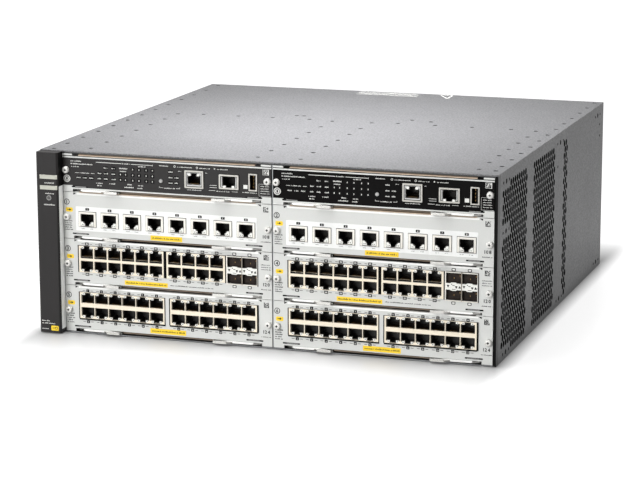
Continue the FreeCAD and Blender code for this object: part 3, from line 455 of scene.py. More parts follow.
# A white for the plates' folded top edges: painted highlight.
top_highlight_paint = finish("bright_folded_edge", srgb(244, 244, 241), 0.35, change=0.03)
# A brighter copy of the lever steel: painted highlight.
lever_highlight_paint = finish("painted_lever_highlight", srgb(236, 236, 233), 0.3, 0.25, 0.08, streaks=True)
# Dark brown for the bays' insides and a shaded metal for their divider: painted shade.
bay_shade_paint = finish("shaded_bay_metal", srgb(30, 22, 17), 0.45, 0.2, 0.9, 240.0, 0.3, gloss=0.2)
bay_edge = finish("shaded_bay_edge", srgb(132, 124, 112), 0.4, 0.4, 0.3, 300.0, 0.4)
smoked = finish("smoked_lens", srgb(72, 71, 70), 0.3, gloss=0.4)

# %% [markdown]
# ## The perforated case
# On the real case the sides are punched with round vents in three bands, each row shifted by half
# a pitch, with small screw holes between them for rack ears. The CAD model has fewer, larger vents.
# Here the folded shell is rebuilt sheet by sheet with every hole, inside the same outline. Each side
# is a thin painted skin over a black inner layer of painted shade, so the holes read dark. The front
# flanges are black as painted shade too, and a zinc sill lies below.

# %% Side walls with true vents
SHEET = 1.2
SKIN = 0.2
VENT_RADIUS = 3.4
CLEAR_OF_HOLES = 6.1
COLUMN_STEP = 4.0
ROW_STEP = 6.35
TOP_ROW = 161.15
ROWS = 25
BANDS = ((18.8, 23, 1), (137.4, 22, 0), (264.5, 4, 0))
TRIOS = ((19.0, 10.7, 165.0), (19.2, 10.9, 119.3), (24.0, 11.1, 5.6), (239.9, 12.0, 6.4), (234.7, 12.2, 165.0),
         (410.6, 11.5, 165.4), (416.5, 11.7, 6.8))
SINGLES = ((236.7, 142.3), (433.1, 154.5), (434.4, 142.2))
EAR_DEPTH, EAR_BANDS = 46, ((157, 170), (111, 126), (0, 12))
FLANGE_LEFT, FLANGE_RIGHT = -199.95, 219.65


def vent_centres(others):
    """Staggered rows: column j and row i hold a vent where i + j has the band's parity. Vents that
    would run into one of the other holes are left out, and so are those where the rack ears go."""
    found = []
    for start, columns, parity in BANDS:
        column, level = np.meshgrid(np.arange(columns), np.arange(ROWS))
        pick = (column + level + parity) % 2 == 0
        found.append(np.stack([start + COLUMN_STEP * column[pick], TOP_ROW - ROW_STEP * level[pick]], 1))
    centres = np.concatenate(found)
    nearest = np.linalg.norm(centres[:, None] - others, axis=2).min(1)
    back, up = centres.T
    ears = (back < EAR_DEPTH) & np.any([(up > low) & (up < high) for low, high in EAR_BANDS], axis=0)
    return centres[~ears & (nearest > CLEAR_OF_HOLES)]


trios = np.array([(start + step * pitch, up) for start, pitch, up in TRIOS for step in range(3)])
vents = vent_centres(np.concatenate([trios, SINGLES]))
trio_radius = np.tile([1.6, 2.5, 1.6], len(TRIOS))
rims = [*circles(vents, VENT_RADIUS), *circles(trios, trio_radius), *circles(SINGLES, 1.5)]
print("vents in each side:", len(vents))


def case_part(name, shape, material=powder_coat, stands_for="chassis_shell"):
    """A sheet of the case, shown in place of a CAD node."""
    put(name, shape, "chassis", material, stands_for=(stands_for,))


# The inner layer is black: painted shade seen through the vents.
LAYERS = (("", 0.0, SKIN, powder_coat), ("_inner", SKIN, SHEET, black_and_painted_shade))
for side, sign in (("right", 1), ("left", -1)):
    for suffix, outside, inside, material in LAYERS:
        levels = sorted((sign * (half_width - outside), sign * (half_width - inside)))
        wall = pierced(window(0, 0, case_depth, wall_top), rims, *levels, upright)
        case_part(f"case_side_{side}{suffix}", wall, material)

inner = half_width - SHEET
case_part("case_floor", boxes([(-inner, 0, 0)], [(inner, case_depth, SHEET)]))
# The front flanges are black: painted shade in the seams beside the modules.
case_part("case_front_flanges", boxes([(-inner, 0, SHEET), (FLANGE_RIGHT, 0, SHEET)],
                                      [(FLANGE_LEFT, SHEET, wall_top), (inner, SHEET, wall_top)]), black_and_painted_shade)
sill = boxes([(FLANGE_LEFT + 0.5, -0.12, 0.35)], [(FLANGE_RIGHT - 0.5, 0.0, 0.8)])
put("case_front_sill", sill, "chassis", finishes["zinc_sheet"])

# %% [markdown]
# ## The top cover
# The lid is one sheet with rows of small sunk fasteners along its edges and over the card cage.
# Seen at a low angle they read as short dark dashes. The skin is pierced where they sit, and a
# black domed head lies in each hole: the dashes come partly from real depth and partly from the
# heads' black, which is painted shade.

# %% Cover skin, its lips and the sunk heads
DIMPLE_RADIUS = 2.3
DIMPLE_STEP = 36.6
HEAD_PROFILE = ((0.6, 0.22), (1.7, 0.14), (2.2, 0.0))
SKIN_TOP, SKIN_FOOT = cover_high - 0.03, cover_high - 0.45


def column(across, start, count, step=DIMPLE_STEP):
    """A straight row of places that runs back from start."""
    return np.stack([np.full(count, float(across)), start + step * np.arange(count)], 1)


dimples = np.concatenate([
    column(-211.5, 38, 12), [(-211.5, 7)], column(-178.5, 19, 7), column(-12, 22, 7), column(29, 24, 7),
    column(198, 24.5, 7), column(214.3, 44, 12, 36.2), [(214.3, 21)],
    [(-152, 244), (-114, 244), (-77, 245), (-38, 246), (55, 249), (94, 248), (132, 248), (172, 247)],
    [(-58, 265), (-50, 265), (63, 273), (84, 268)],
])
outline = window(-half_width, 0, half_width, case_depth)
skin = pierced(outline, circles(dimples, DIMPLE_RADIUS, 16), SKIN_FOOT, SKIN_TOP, lying)
under = boxes([(-half_width, 0, wall_top)], [(half_width, case_depth, SKIN_FOOT)])
side_lips = boxes([(inner - 1.3, 18, wall_top - 7), (0.1 - inner, 18, wall_top - 7)],
                  [(inner - 0.1, case_depth - 18, wall_top), (1.3 - inner, case_depth - 18, wall_top)])
front_lip = boxes([(FLANGE_LEFT + 1.5, 0, wall_top - 1.1)], [(FLANGE_RIGHT - 0.1, SHEET, wall_top)])
case_part("cover_sheet", join(skin, under, front_lip, side_lips), stands_for="top_cover")
turn = math.tau * np.arange(12) / 12
head = loft([np.stack([r * np.cos(turn), r * np.sin(turn), np.full(12, z)], 1) for r, z in HEAD_PROFILE])
heads = repeat(head, np.insert(dimples, 2, SKIN_FOOT, axis=1))
# The heads are black: painted shade in the sunk holes.
put("cover_sunk_heads", heads, "chassis", black_and_painted_shade)
print("sunk heads in the cover:", len(dimples))

# %% [markdown]
# ## Where the modules stand
# Two columns of slots stand side by side, four rows high. Each module's own corner is the low left
# corner of its faceplate, which the CAD box of that plate gives. All marks are placed from it.

# %% Module corners
PLATE_WIDTH = 208.4
MODULES = {"module_a": (1, 108), "module_b": (2, 108), "module_c": (3, 120), "module_d": (4, 120),
           "module_e": (5, 124), "module_f": (6, 124)}
MANAGERS = ("manager_left", "manager_right")
corner = {}
for body in (*MODULES, *MANAGERS):
    low = np.array(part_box(f"{body}_faceplate")[0]) / MM
    corner[body] = np.array([low[0], 0.0, low[2]])
print("module corners, mm:", {body: place.round(1).tolist() for body, place in corner.items()})


def on(body, *shapes):
    """Shapes drawn from a module's own corner, moved to where that module stands."""
    points, faces = join(*shapes)
    return points + corner[body], faces


def add(body, label, material, slot, *shapes):
    """A piece that rides on a module, drawn from that module's own corner."""
    put(f"{body}_{label}", on(body, *shapes), body, material)


# %% Flat marks
def about(across, up, half_wide, half_tall):
    """Rows of (left, low, right, high), each centred on a place."""
    edges = across - half_wide, up - half_tall, across + half_wide, up + half_tall
    return np.stack(np.broadcast_arrays(*edges), 1)


def marks(rows, out=0.10, into=0.05):
    """Flat print: thin boxes from (left, low, right, high) rows, standing out by a hair."""
    rows = np.asarray(rows, float)
    lows = np.stack([rows[:, 0], np.full(len(rows), -out), rows[:, 1]], 1)
    highs = np.stack([rows[:, 2], np.full(len(rows), into), rows[:, 3]], 1)
    return boxes(lows, highs)


def pads(rows, radius, out, into=0.05, steps=2):
    """Flat marks with round corners, one for each (left, low, right, high) row."""
    return join(*[prism(rounded(*spot, radius, steps), -out, into) for spot in rows])


def ring(across, up, outer, inner_radius, out=0.10, sides=28):
    """A flat ring: a disc's outline with a round hole."""
    outline, opening = (circles([(across, up)], radius, sides)[0] for radius in (outer, inner_radius))
    return surround(outline, opening, 0.0, out)


def disc(across, up, radius, out=0.10):
    """A flat round mark."""
    points, faces = turned([(radius, -out), (radius, 0.05)])
    return points + (across, 0, up), faces


def words(left, low, right, height, seed, gap=0.3):
    """A line of stand-in lettering: narrow strokes of two heights with gaps, a wider gap after every
    few strokes, and no letters."""
    random = np.random.default_rng(seed)
    count = 60
    widths = random.uniform(0.35, 0.75, count)
    gaps = np.where(random.random(count) < 0.18, 1.0, gap)
    tops = low + height * np.where(random.random(count) < 0.35, 1.0, 0.7)
    ends = left + np.cumsum(widths + gaps) - gaps
    fit = ends <= right
    return np.stack([(ends - widths)[fit], np.full(fit.sum(), low), ends[fit], tops[fit]], 1)


# %% [markdown]
# ## Numbers
# The sockets are numbered on small dark tags. Plain digits are drawn with Blender's own font, made
# a mesh once for each digit, and then repeated with numpy for every tag.

# %% Digits as shapes
def digit_shape(text):
    """One character as a thin solid, one unit high, with its lower left corner at zero."""
    curve = bpy.data.curves.new("digit", "FONT")
    curve.body = text
    curve.size = 1.0
    curve.extrude = 0.02
    curve.offset = 0.022
    curve.resolution_u = 2
    carrier = show("digit", curve)
    bpy.context.view_layer.update()
    mesh = bpy.data.meshes.new_from_object(carrier.evaluated_get(bpy.context.evaluated_depsgraph_get()))
    flat = np.zeros(len(mesh.vertices) * 3)
    mesh.vertices.foreach_get("co", flat)
    flat = flat.reshape(-1, 3)
    low, size = flat.min(0), np.ptp(flat, axis=0)
    across, up, back = ((flat - low) / (size[1], size[1], -size[2])).T
    faces = [list(face.vertices) for face in mesh.polygons]
    bpy.data.objects.remove(carrier)
    bpy.data.curves.remove(curve)
    bpy.data.meshes.remove(mesh)
    return np.stack([across, back, up], 1), faces


DIGITS = {character: digit_shape(character) for character in "0123456789"}


def number(value, across, up, height, out=0.14, thickness=0.06):
    """A number centred on a place: its digits side by side, a quarter of their height apart."""
    shapes, at = [], 0.0
    for character in str(value):
        points, faces = DIGITS[character]
        shapes.append((points * (height, thickness, height) + (at, thickness - out, 0), faces))
        at += points[:, 0].max() * height + 0.25 * height
    points, faces = join(*shapes)
    return points + (across - (at - 0.25 * height) / 2, 0, up - height / 2), faces


# %% [markdown]
# ## Marks that every module carries
# Each plate has a ringed slot number, a yellow arrow tag, two captive screws, a small patch with a
# block pattern, and lines of small print. The screw is CAD; here it gets a nickel cap with a
# knurled rim and a cross recess. Lettering isn't copied: short strokes stand in for it, and the
# block pattern is random.

# %% Captive screw caps
CAP_PROFILE = ((0.30, -3.25), (0.72, -3.2), (0.93, -2.95), (1.0, -2.55), (1.0, -0.2))


def knurled(radius, teeth=18, depth=0.22):
    """A cap with a toothed rim: the radius swings in and out with the angle, and the front is domed."""
    turn = math.tau * np.arange(teeth * 2) / (teeth * 2)
    wave = radius - depth * (np.arange(teeth * 2) % 2)
    return loft([np.stack([wave * share * np.cos(turn), np.full(len(turn), y), wave * share * np.sin(turn)], 1)
                 for share, y in CAP_PROFILE])


def cross(width, length, near, far):
    """A cross-shaped recess as two thin bars over each other."""
    arm, span = width / 2, length / 2
    return boxes([(-span, near, -arm), (-arm, near, -span)], [(span, far, arm), (arm, far, span)])


screws = row((3.6, PLATE_WIDTH - 3.6), 20.8)
for body in corner:
    add(body, "screw_caps", screw_metal, "bare_steel", repeat(knurled(3.3), screws))
    # The cross recesses are black: painted shade.
    add(body, "screw_slots", black_and_painted_shade, "bare_steel", repeat(cross(0.8, 2.3, -3.3, -3.2), screws))


# %% Slot rings, arrow tags, block pattern and small print
def block_patch(left, low, size, seed, cells=9):
    """A square patch with a border and random dark cells."""
    random = np.random.default_rng(seed)
    filled = random.random((cells, cells)) < 0.5
    filled[0], filled[:, 0] = True, True
    up, across = np.nonzero(filled)
    half = size / cells / 2
    return about(left + (2 * across + 1) * half, low + (2 * up + 1) * half, half, half)


ARROW = (marks([(3.7, 27.35, 6.0, 27.95)], 0.16), prism([(5.8, 26.5), (7.8, 27.65), (5.8, 28.8)], -0.16, 0.0))
WEDGE = np.array([(10.2, 44.0), (10.5, 42.1), (13.2, 44.0)])
for body, (slot, sockets) in MODULES.items():
    lines = [words(1.3, 16.4 - 2.1 * step, 9.2 - step % 2, 1.1, slot * 10 + step) for step in range(5)]
    lines += [words(197.8, 8.7, 207.8, 0.9, slot * 10 + 8)]
    if slot in (3, 4):
        lines += [words(198.0, 27.6 + 2.2 * step, 207.4, 1.0, slot + step, 0.4) for step in range(3)]
    add(body, "dark_marks", dark_ink_and_shade, "bright_sheet", ring(3.4, 35.1, 2.85, 2.25), number(slot, 3.4, 35.1, 3.4),
        *ARROW, marks(block_patch(200.4, 37.0, 5.0, slot)), marks(np.concatenate(lines)),
        number(sockets, 203.0, 13.9, 3.2))
    # The corner notches are black: painted shade in the notches.
    add(body, "corner_notches", black_and_painted_shade, "bright_sheet", prism(WEDGE, -0.12, 0.05),
        prism(WEDGE[::-1] * (-1, 1) + (PLATE_WIDTH, 0), -0.12, 0.05))
    add(body, "arrow_tag", ink_yellow, "bright_sheet", pads([(2.2, 25.6, 9.4, 29.7)], 1.2, 0.1, steps=4))

# %% [markdown]
# ## Slits, gaskets and folded edges
# Over each lever the plate has a pressed slit, a black pad of painted shade with a nickel strip of
# painted highlight in it. A gasket runs along the plate's top edge, pale copper-coloured cloth where
# light falls on it and darker copies of that colour lower down, which are painted shade, and a short
# brown one of painted shade along the foot. It is a soft half-round bead with fine folds. The port
# modules' plates also show a white strip of painted highlight on the folded edge along the top, and
# each lever a rolled edge of brighter steel, a painted highlight, which stays clear of the plate's end.

# %% Lever slits, gasket beads and folded edges
def bead(left, right, low, high, near, far, folds):
    """A half-round strip: across it an arc from near to far, along it small folds in its height."""
    along = np.linspace(left, right, folds * 4 + 1)
    turn = np.linspace(math.pi, 0, 9)
    swell = 1 - 0.10 * np.abs(np.sin(math.pi * (along - left) / (right - left) * folds))
    back = (near + far) / 2 + (far - near) / 2 * np.cos(turn)
    up = low + (high - low) * np.sin(turn) * swell[:, None]
    rings = np.stack([np.broadcast_to(along[:, None], up.shape), np.broadcast_to(back, up.shape), up], -1)
    return loft(rings[:, ::-1])


# The lower rows' gaskets take darker copies of the cloth's colour: painted shade.
SEALS = {"module_c": dark_seal, "module_d": dark_seal, "module_e": grey_seal, "module_f": grey_seal}
for body, place in corner.items():
    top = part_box(f"{body}_faceplate")[1][2] / MM - place[2]
    foot, rise = (top - 1.6, 1.5) if body in MANAGERS else (top - 0.4, 0.85)
    add(body, "gasket", SEALS.get(body, gasket_cloth), "bright_sheet",
        bead(16.0, PLATE_WIDTH - 16.0, foot - 0.1, foot + rise, 0.25, 8.5, 36))
    # The foot's gasket in a darker brown: painted shade.
    add(body, "low_gasket", brown_seal, "bright_sheet",
        bead(58.5, PLATE_WIDTH - 58.5, 1.3, 2.75, 0.45, 6.0, 16))
    if body in MODULES:
        # A white strip along the plate's top edge: painted highlight where the folded edge catches light.
        fold = marks([(13.6, 42.5, PLATE_WIDTH - 13.6, 44.0)], 0.07, 0.0)
        add(body, "folded_edge", top_highlight_paint, "bright_sheet", fold)
    # Each slit is a flat black pad: painted shade.
    slits = [(left, 4.3, left + 16.8, 5.7) for left in (8.8, PLATE_WIDTH - 25.6)]
    add(body, "lever_slits", black_and_painted_shade, "bright_sheet", pads(slits, 0.65, 0.16, steps=4))
    # A thin nickel strip in each slit: painted highlight.
    glints = [(left, 4.75, left + 11.0, 5.2) for left in (12.6, PLATE_WIDTH - 23.4)]
    add(body, "slit_glints", nickel, "bright_sheet", pads(glints, 0.2, 0.2, 0.0))

# %% The levers' rolled edges
EDGE = ((18.5, 1.5), (20.5, 0.9), (44.0, 0.7), (46.0, 0.25), (57.0, 0.25), (57.6, 0.9), (57.0, 2.0),
        (48.0, 2.3), (45.0, 2.7), (19.0, 2.7), (18.5, 2.4))
for body in corner:
    for side, sign, shift in (("left", 1, 0.0), ("right", -1, PLATE_WIDTH)):
        outline = np.array(EDGE)[::sign] * (sign, 1) + (shift, 0)
        rolled = on(body, prism(outline, -0.85, -0.42))
        # The rolled edge takes the brighter copy of the lever steel: painted highlight.
        put(f"{body}_lever_{side}_edge", rolled, f"{body}_lever_{side}", lever_highlight_paint)

# %% [markdown]
# ## Sockets
# A network socket is a dark mouth with a notch for the plug's latch, eight springy gold contacts on
# the far side, and two small lamps beside the notch. The moulded blocks are CAD. The contacts and
# lamps are drawn once for one socket and repeated at every place. In a pair of rows the upper
# sockets have their notch above (side 1), the lower ones have it below (side -1).

# %% Contacts and lamps of one socket
PORT_PITCH = 14.05
PORT_WIDTH, PORT_HEIGHT = 11.9, 7.6
CLIP_WIDTH, CLIP_HEIGHT = 5.6, 2.2
LAMP_WIDTH, LAMP_HEIGHT = 2.5, 2.0


def contacts(side):
    """Eight wires: each slopes from the mouth's wall opposite the latch notch towards its middle."""
    wall, middle = (0.15, 2.6) if side > 0 else (PORT_HEIGHT - 0.15, PORT_HEIGHT - 2.6)
    near_end = np.array([(-0.2, 1.2, wall), (-0.2, 9.8, middle), (-0.2, 9.8, middle + 0.3),
                         (-0.2, 1.2, wall + 0.3)])
    return repeat(loft([near_end, near_end + (0.4, 0, 0)]), row((np.arange(8) - 3.5) * 1.02))


def lamps(side, out):
    """Two lamp lenses, one each side of the latch notch."""
    inner_edge = CLIP_WIDTH / 2 + 0.15
    low, high = (PORT_HEIGHT + 0.1, PORT_HEIGHT + LAMP_HEIGHT) if side > 0 else (-LAMP_HEIGHT, -0.1)
    lens = np.array(window(inner_edge, low, inner_edge + LAMP_WIDTH, high))
    return join(*[prism(lens[::turn] * (turn, 1), -out, 0.0) for turn in (-1, 1)])


def port_mouth(middle, foot, side, clip=CLIP_HEIGHT, wider=0.0):
    """The mouth of a socket with its latch notch above or below, as an outline. wider moves the
    sides, foot and top outwards, and clip is the notch's own height."""
    edge, notch = PORT_WIDTH / 2 + wider, CLIP_WIDTH / 2 + wider
    low, top = foot - wider, foot + PORT_HEIGHT + wider
    if side > 0:
        outline = [(-edge, low), (edge, low), (edge, top), (notch, top), (notch, top + clip),
                   (-notch, top + clip), (-notch, top), (-edge, top)]
    else:
        outline = [(-edge, low), (-notch, low), (-notch, low - clip), (notch, low - clip),
                   (notch, low), (edge, low), (edge, top), (-edge, top)]
    return np.array(outline) + (middle, 0)


# %% Sockets of the moulded blocks
FEET = {-1: 16.0, 1: 28.2}
BLOCK_WALL = 2.4
BLOCKS = {"six": (14.6, 6), "second": (106.8, 6), "short": (103.6, 4)}
LAYOUT = {"module_e": ("six", "second"), "module_f": ("six", "second"), "module_c": ("six", "short"),
          "module_d": ("six", "short")}


def rim_outline(side, deep):
    """The outer outline of the dark rim, painted shade round a mouth. In a module with a cage the upper
    rims hang lower; in the others all are a little wider, and the upper ones end level with the block's own
    edge."""
    wide = port_mouth(0.0, 0.0, side, wider=0.4)
    if deep and side > 0:
        wide[:2, 1] -= 1.2
    if not deep:
        wide[:, 0] *= 1.045
        if side > 0:
            wide[:2, 1], wide[4:6, 1] = -0.05, PORT_HEIGHT + CLIP_HEIGHT + 0.05
    return wide


for body, blocks in LAYOUT.items():
    starts, counts = np.array([BLOCKS[block] for block in blocks]).T
    ends = starts + PORT_PITCH * (counts - 1) + PORT_WIDTH + 2 * BLOCK_WALL
    middles = np.concatenate([start + BLOCK_WALL + PORT_WIDTH / 2 + PORT_PITCH * np.arange(count)
                              for start, count in zip(starts, counts)])
    deep = body in ("module_c", "module_d")
    levels = {-1: 11.0, 1: 40.4} if deep else {-1: 9.9, 1: 40.1}
    lenses, wires, rims, digits, tags, ticks = [], [], [], [], [], []
    for first, (side, foot) in zip((2, 1), FEET.items()):
        places = row(middles, foot)
        lenses.append(repeat(lamps(side, 0.66), places))
        wires.append(repeat(contacts(side), places))
        rim = surround(rim_outline(side, deep), port_mouth(0.0, 0.0, side), 0.45, 0.56)
        rims.append(repeat(rim, places))
        tags.append(about(middles, levels[side], *((1.9, 1.35) if deep else (1.55, 1.4))))
        ticks += [about(middles + shift, levels[side], 1.4, 0.2) for shift in (-4.0, 4.0)]
        digits += [number(first + 2 * step, x, levels[side] - 0.1, 0.95 if deep else 1.2, 0.24)
                   for step, x in enumerate(middles)]
    tags = np.concatenate(tags)
    edges = [(start - 0.8, 13.0, start + 0.15, 38.7) for start in starts]
    edges += [(start - 0.4, 38.55, end + 0.6, 38.85) for start, end in zip(starts, ends)]
    if deep:
        edges += [(ends[0] - 0.5, 13.0, starts[1] + 0.3, 38.6), (starts[0] - 0.9, 37.9, starts[0], 38.8),
                  (ends[1] + 0.1, 12.6, ends[1] + 1.0, 38.8)]
    else:
        edges += [(ends[0] - 0.35, 13.0, ends[0] + 0.3, 38.6), (ends[1] - 0.1, 12.4, ends[1] + 1.5, 38.8)]
        edges += [(start - 0.4, 11.7, end + 0.4, 13.1) for start, end in zip(starts, ends)]
    specks = [about(middles + shift, level, 0.5, 0.3) for shift in (-4.4, 4.4)
              for level in (FEET[-1] - 1.1, FEET[1] + PORT_HEIGHT + 1.1)]
    # Black rims round the mouths and black lines along the blocks' edges: painted shade. Small dark specks sit
    # beside the lamps.
    add(body, "socket_rims", black_and_painted_shade, "jack_plastic", *rims, marks(edges, 0.62),
        marks(np.concatenate(specks), 0.72))
    add(body, "lamps", lamp_lens, "jack_plastic", *lenses)
    add(body, "contacts", gold, "jack_plastic", *wires)
    add(body, "number_tags", dark_ink_and_shade, "bright_sheet", pads(tags, 0.5, 0.12), marks(np.concatenate(ticks)))
    if deep:
        fields = tags + (0.9, 0.75, -0.9, -0.75)
        add(body, "tag_fields", ink_light, "bright_sheet", pads(fields, 0.3, 0.17, 0.0))
    add(body, "numbers", dark_ink_and_shade if deep else ink_light, "bright_sheet", *digits)
print("moulded sockets:", sum(2 * BLOCKS[block][1] for blocks in LAYOUT.values() for block in blocks))

# %% [markdown]
# ## Single shielded sockets on the upper modules
# The upper modules have eight separate sockets in tin shields, on a white printed panel. The panel
# is a thin sheet with a window for each socket, so it must be pierced, not laid over them.

# %% White panels, shields' lamps and contacts, number tags
SHIELD_WIDTH, SHIELD_HEIGHT, SHIELD_FOOT, SHIELD_START, SHIELD_PITCH = 17.4, 14.1, 12.1, 15.6, 22.72
SHIELD_CLIP = 3.7
LENS = np.array([(2.3, 12.9), (6.4, 12.9), (6.4, 17.0), (4.6, 17.0), (3.6, 15.6), (2.3, 14.9)])
lefts = SHIELD_START + SHIELD_PITCH * np.arange(8)
middles = lefts + SHIELD_WIDTH / 2


def shield_window(left, grow):
    """A rectangle about one shield, larger by grow all round."""
    return window(left, SHIELD_FOOT, left + SHIELD_WIDTH, SHIELD_FOOT + SHIELD_HEIGHT, grow)


openings = [shield_window(x, 0.35) for x in lefts]
panel = pierced(rounded(12.4, 7.9, 193.9, 31.2, 0.8), openings, 0.0, 0.08, facing)
lens_pair = join(prism(LENS, -1.0, -0.85), prism(LENS[::-1] * (-1, 1), -1.0, -0.85))
liner = surround(window(-6.7, 12.35, 6.7, 24.35), port_mouth(0.0, 16.5, -1, SHIELD_CLIP), 0.78, 0.9)
dots = np.concatenate([about(middles + shift, 14.2, 0.35, 0.4) for shift in (-4.9, -3.3, 3.3, 4.9)])
# A dark outline round each shield on the panel: painted shade in the gap round it.
rims = [surround(shield_window(x, 0.45), shield_window(x, 0.02), 0.0, 0.14) for x in lefts]
small = np.concatenate([words(x + shift, 9.9, x + shift + 3.4, 0.5, int(x))
                        for x in middles for shift in (-6.2, 2.6)])
number_tags = pads(about(middles, 28.8, 1.9, 1.2), 0.4, 0.16, 0.0)
wires = repeat(contacts(-1), row(middles, SHIELD_FOOT + 0.7 + SHIELD_CLIP))
digits = [number(step + 1, x, 28.8, 1.6, 0.24) for step, x in enumerate(middles)]
for body in ("module_a", "module_b"):
    add(body, "white_panel", white_panel, "bright_sheet", panel)
    add(body, "lamps", lamp_lens, "jack_shield", repeat(lens_pair, row(middles)))
    add(body, "liners", black_and_painted_shade, "jack_shield", repeat(liner, row(middles)), marks(dots, 1.05, -0.99))
    add(body, "contacts", gold, "jack_shield", wires)
    # With the number tags go the shields' dark outlines, which are painted shade, and the small print.
    add(body, "number_tags", dark_ink_and_shade, "bright_sheet", number_tags, *rims, marks(small, 0.14))
    add(body, "numbers", ink_light, "bright_sheet", *digits)

# %% [markdown]
# ## Yellow labels and the lid's print
# Each port module carries one long yellow label. The print on it isn't copied: a row of short dark
# strokes keeps its look from a distance. Four lines of pale strokes and a plain triangle at the
# back of the lid stand in for the print there in the same way.

# %% Labels with stand-in print
LABELS = {"ab": (88.2, 3.4, 120.0, 8.1), "cd": (61.2, 3.9, 104.8, 8.1), "ef": (86.5, 3.8, 122.6, 8.7)}
for letters, (left, low, right, high) in LABELS.items():
    for body in (f"module_{letter}" for letter in letters):
        label = pads([(left, low, right, high)], 0.4, 0.11, 0.03, 4)
        add(body, "yellow_label", ink_yellow, "bright_sheet", label)
        print_line = words(left + 1.6, (low + high) / 2 - 0.75, right - 1.4, 1.5, int(left), 0.45)
        add(body, "label_print", dark_ink_and_shade, "bright_sheet", marks(print_line, 0.16))


# %% Pale print at the back of the lid
def on_lid(shape):
    """A mark drawn upright, laid on the lid: its height turns into depth, and its front faces up."""
    points, faces = shape
    return points[:, [0, 2, 1]] * (1, 1, -1) + (0, 0, SKIN_TOP), faces


def stroke(start, end, width):
    """A thin straight bar between two places, as an anticlockwise outline."""
    start, end = np.array(start, float), np.array(end, float)
    side = np.array([start[1] - end[1], end[0] - start[0]]) / np.linalg.norm(end - start) * width / 2
    return np.array([start - side, end - side, end + side, start + side])


TRIANGLE = ((44.5, 446.0), (57.6, 424.0), (57.6, 446.5))
lines = [words(-46, 444.0 - 5.4 * step, 40 - 12 * (step % 2), 3.4, 20 + step, 0.5) for step in range(4)]
sides = [prism(stroke(TRIANGLE[i], TRIANGLE[i - 1], 1.3), -0.03, 0.02) for i in range(3)]
lid_print = on_lid(join(marks(np.concatenate(lines), 0.03, 0.02), *sides))
put("lid_print", lid_print, "chassis", ink_light)

# %% [markdown]
# ## Optical bays
# Two modules have a folded cage with four bays. Its mouth has bright spring fingers along the
# edges. The bar between the upper and lower bays is a pale light guide with a bulge above each
# pair, and small dark triangles on it point at the bay that each lamp belongs to.

# %% Light guides and spring fingers
CAGE_LEFT, CAGE_WIDTH, CAGE_FOOT, CAGE_TOP = 163.6, 31.2, 11.6, 38.8
BAR_LEFT, BAR_RIGHT = CAGE_LEFT + 0.8, CAGE_LEFT + CAGE_WIDTH - 0.8
BAR_MIDDLE = (BAR_LEFT + BAR_RIGHT) / 2
NICKS = ((5.0, 1.8, 6.0, 2.6), (6.4, 0.9, 8.4, 1.4), (5.8, -2.6, 9.2, -2.2))
middle = (CAGE_FOOT + CAGE_TOP) / 2
halves = np.array([BAR_LEFT, BAR_MIDDLE])


def fingers(left, right, low, high, count):
    """Spring fingers: narrow strips with gaps, bowed outwards in the middle like a leaf spring."""
    width = (right - left) / count
    turn = np.linspace(0, math.pi, 5)
    bow = np.stack([np.full(5, 0.0), 0.9 - 1.3 * np.sin(turn), low + (high - low) * np.linspace(0, 1, 5)], 1)
    strip = np.stack([bow, bow + (width * 0.7, 0, 0), bow + (width * 0.7, 0.15, 0), bow + (0, 0.15, 0)], 1)
    return repeat(loft(strip[::-1]), row(left + width * (np.arange(count) + 0.15)))


bar = pads([(BAR_LEFT, middle - 3.0, BAR_RIGHT, middle + 3.0)], 0.4, 0.7, 0.0)
bulges = pads(about(halves + 7.4, middle, 3.2, 3.8), 1.4, 0.85, 0.0, 3)
ground = marks([(BAR_LEFT, middle - 2.6, BAR_RIGHT, middle + 2.6)], 0.55)
edges = marks([(BAR_RIGHT + 0.3, CAGE_FOOT, BAR_RIGHT + 0.8, CAGE_TOP),
               (BAR_LEFT, CAGE_TOP - 0.1, BAR_RIGHT, CAGE_TOP + 0.4)], 0.6)
down = prism([(-1.15, 1.2), (0.0, -1.1), (1.15, 1.2)], -1.0, -0.8)
up = prism([(-1.15, -1.2), (1.15, -1.2), (0.0, 1.1)], -1.0, -0.8)
triangles = join(repeat(down, row(halves + 2.3, middle)), repeat(down, row(halves + 9.9, middle - 0.6)),
                 repeat(up, row(halves + 13.1, middle)))
nicks = marks([np.add(nick, (left, middle, left, middle)) for left in halves for nick in NICKS], 0.92)
spring = join(*[fingers(CAGE_LEFT + 1, CAGE_LEFT + CAGE_WIDTH - 1, low, low + 1.0, 12)
                for low in (CAGE_TOP - 0.9, CAGE_FOOT - 0.1)])
divider = marks([(BAR_MIDDLE - 0.35, CAGE_FOOT + 0.3, BAR_MIDDLE + 0.35, CAGE_TOP - 0.3)], 0.95, 0.0)
bays = np.array([(CAGE_LEFT + shift, 2.5, z)
                 for shift in (1.1, 16.2) for z in (CAGE_FOOT + 1.1, middle + 3.1)])
flecks = np.concatenate([bays + (6.5, -0.3, 3.5), bays + (12.0, -0.3, 6.0)])
tags = np.array([(x, z, x + 3.8, z + 2.7) for x in (CAGE_LEFT + 6.1, CAGE_LEFT + 21.1) for z in (8.6, 39.4)])
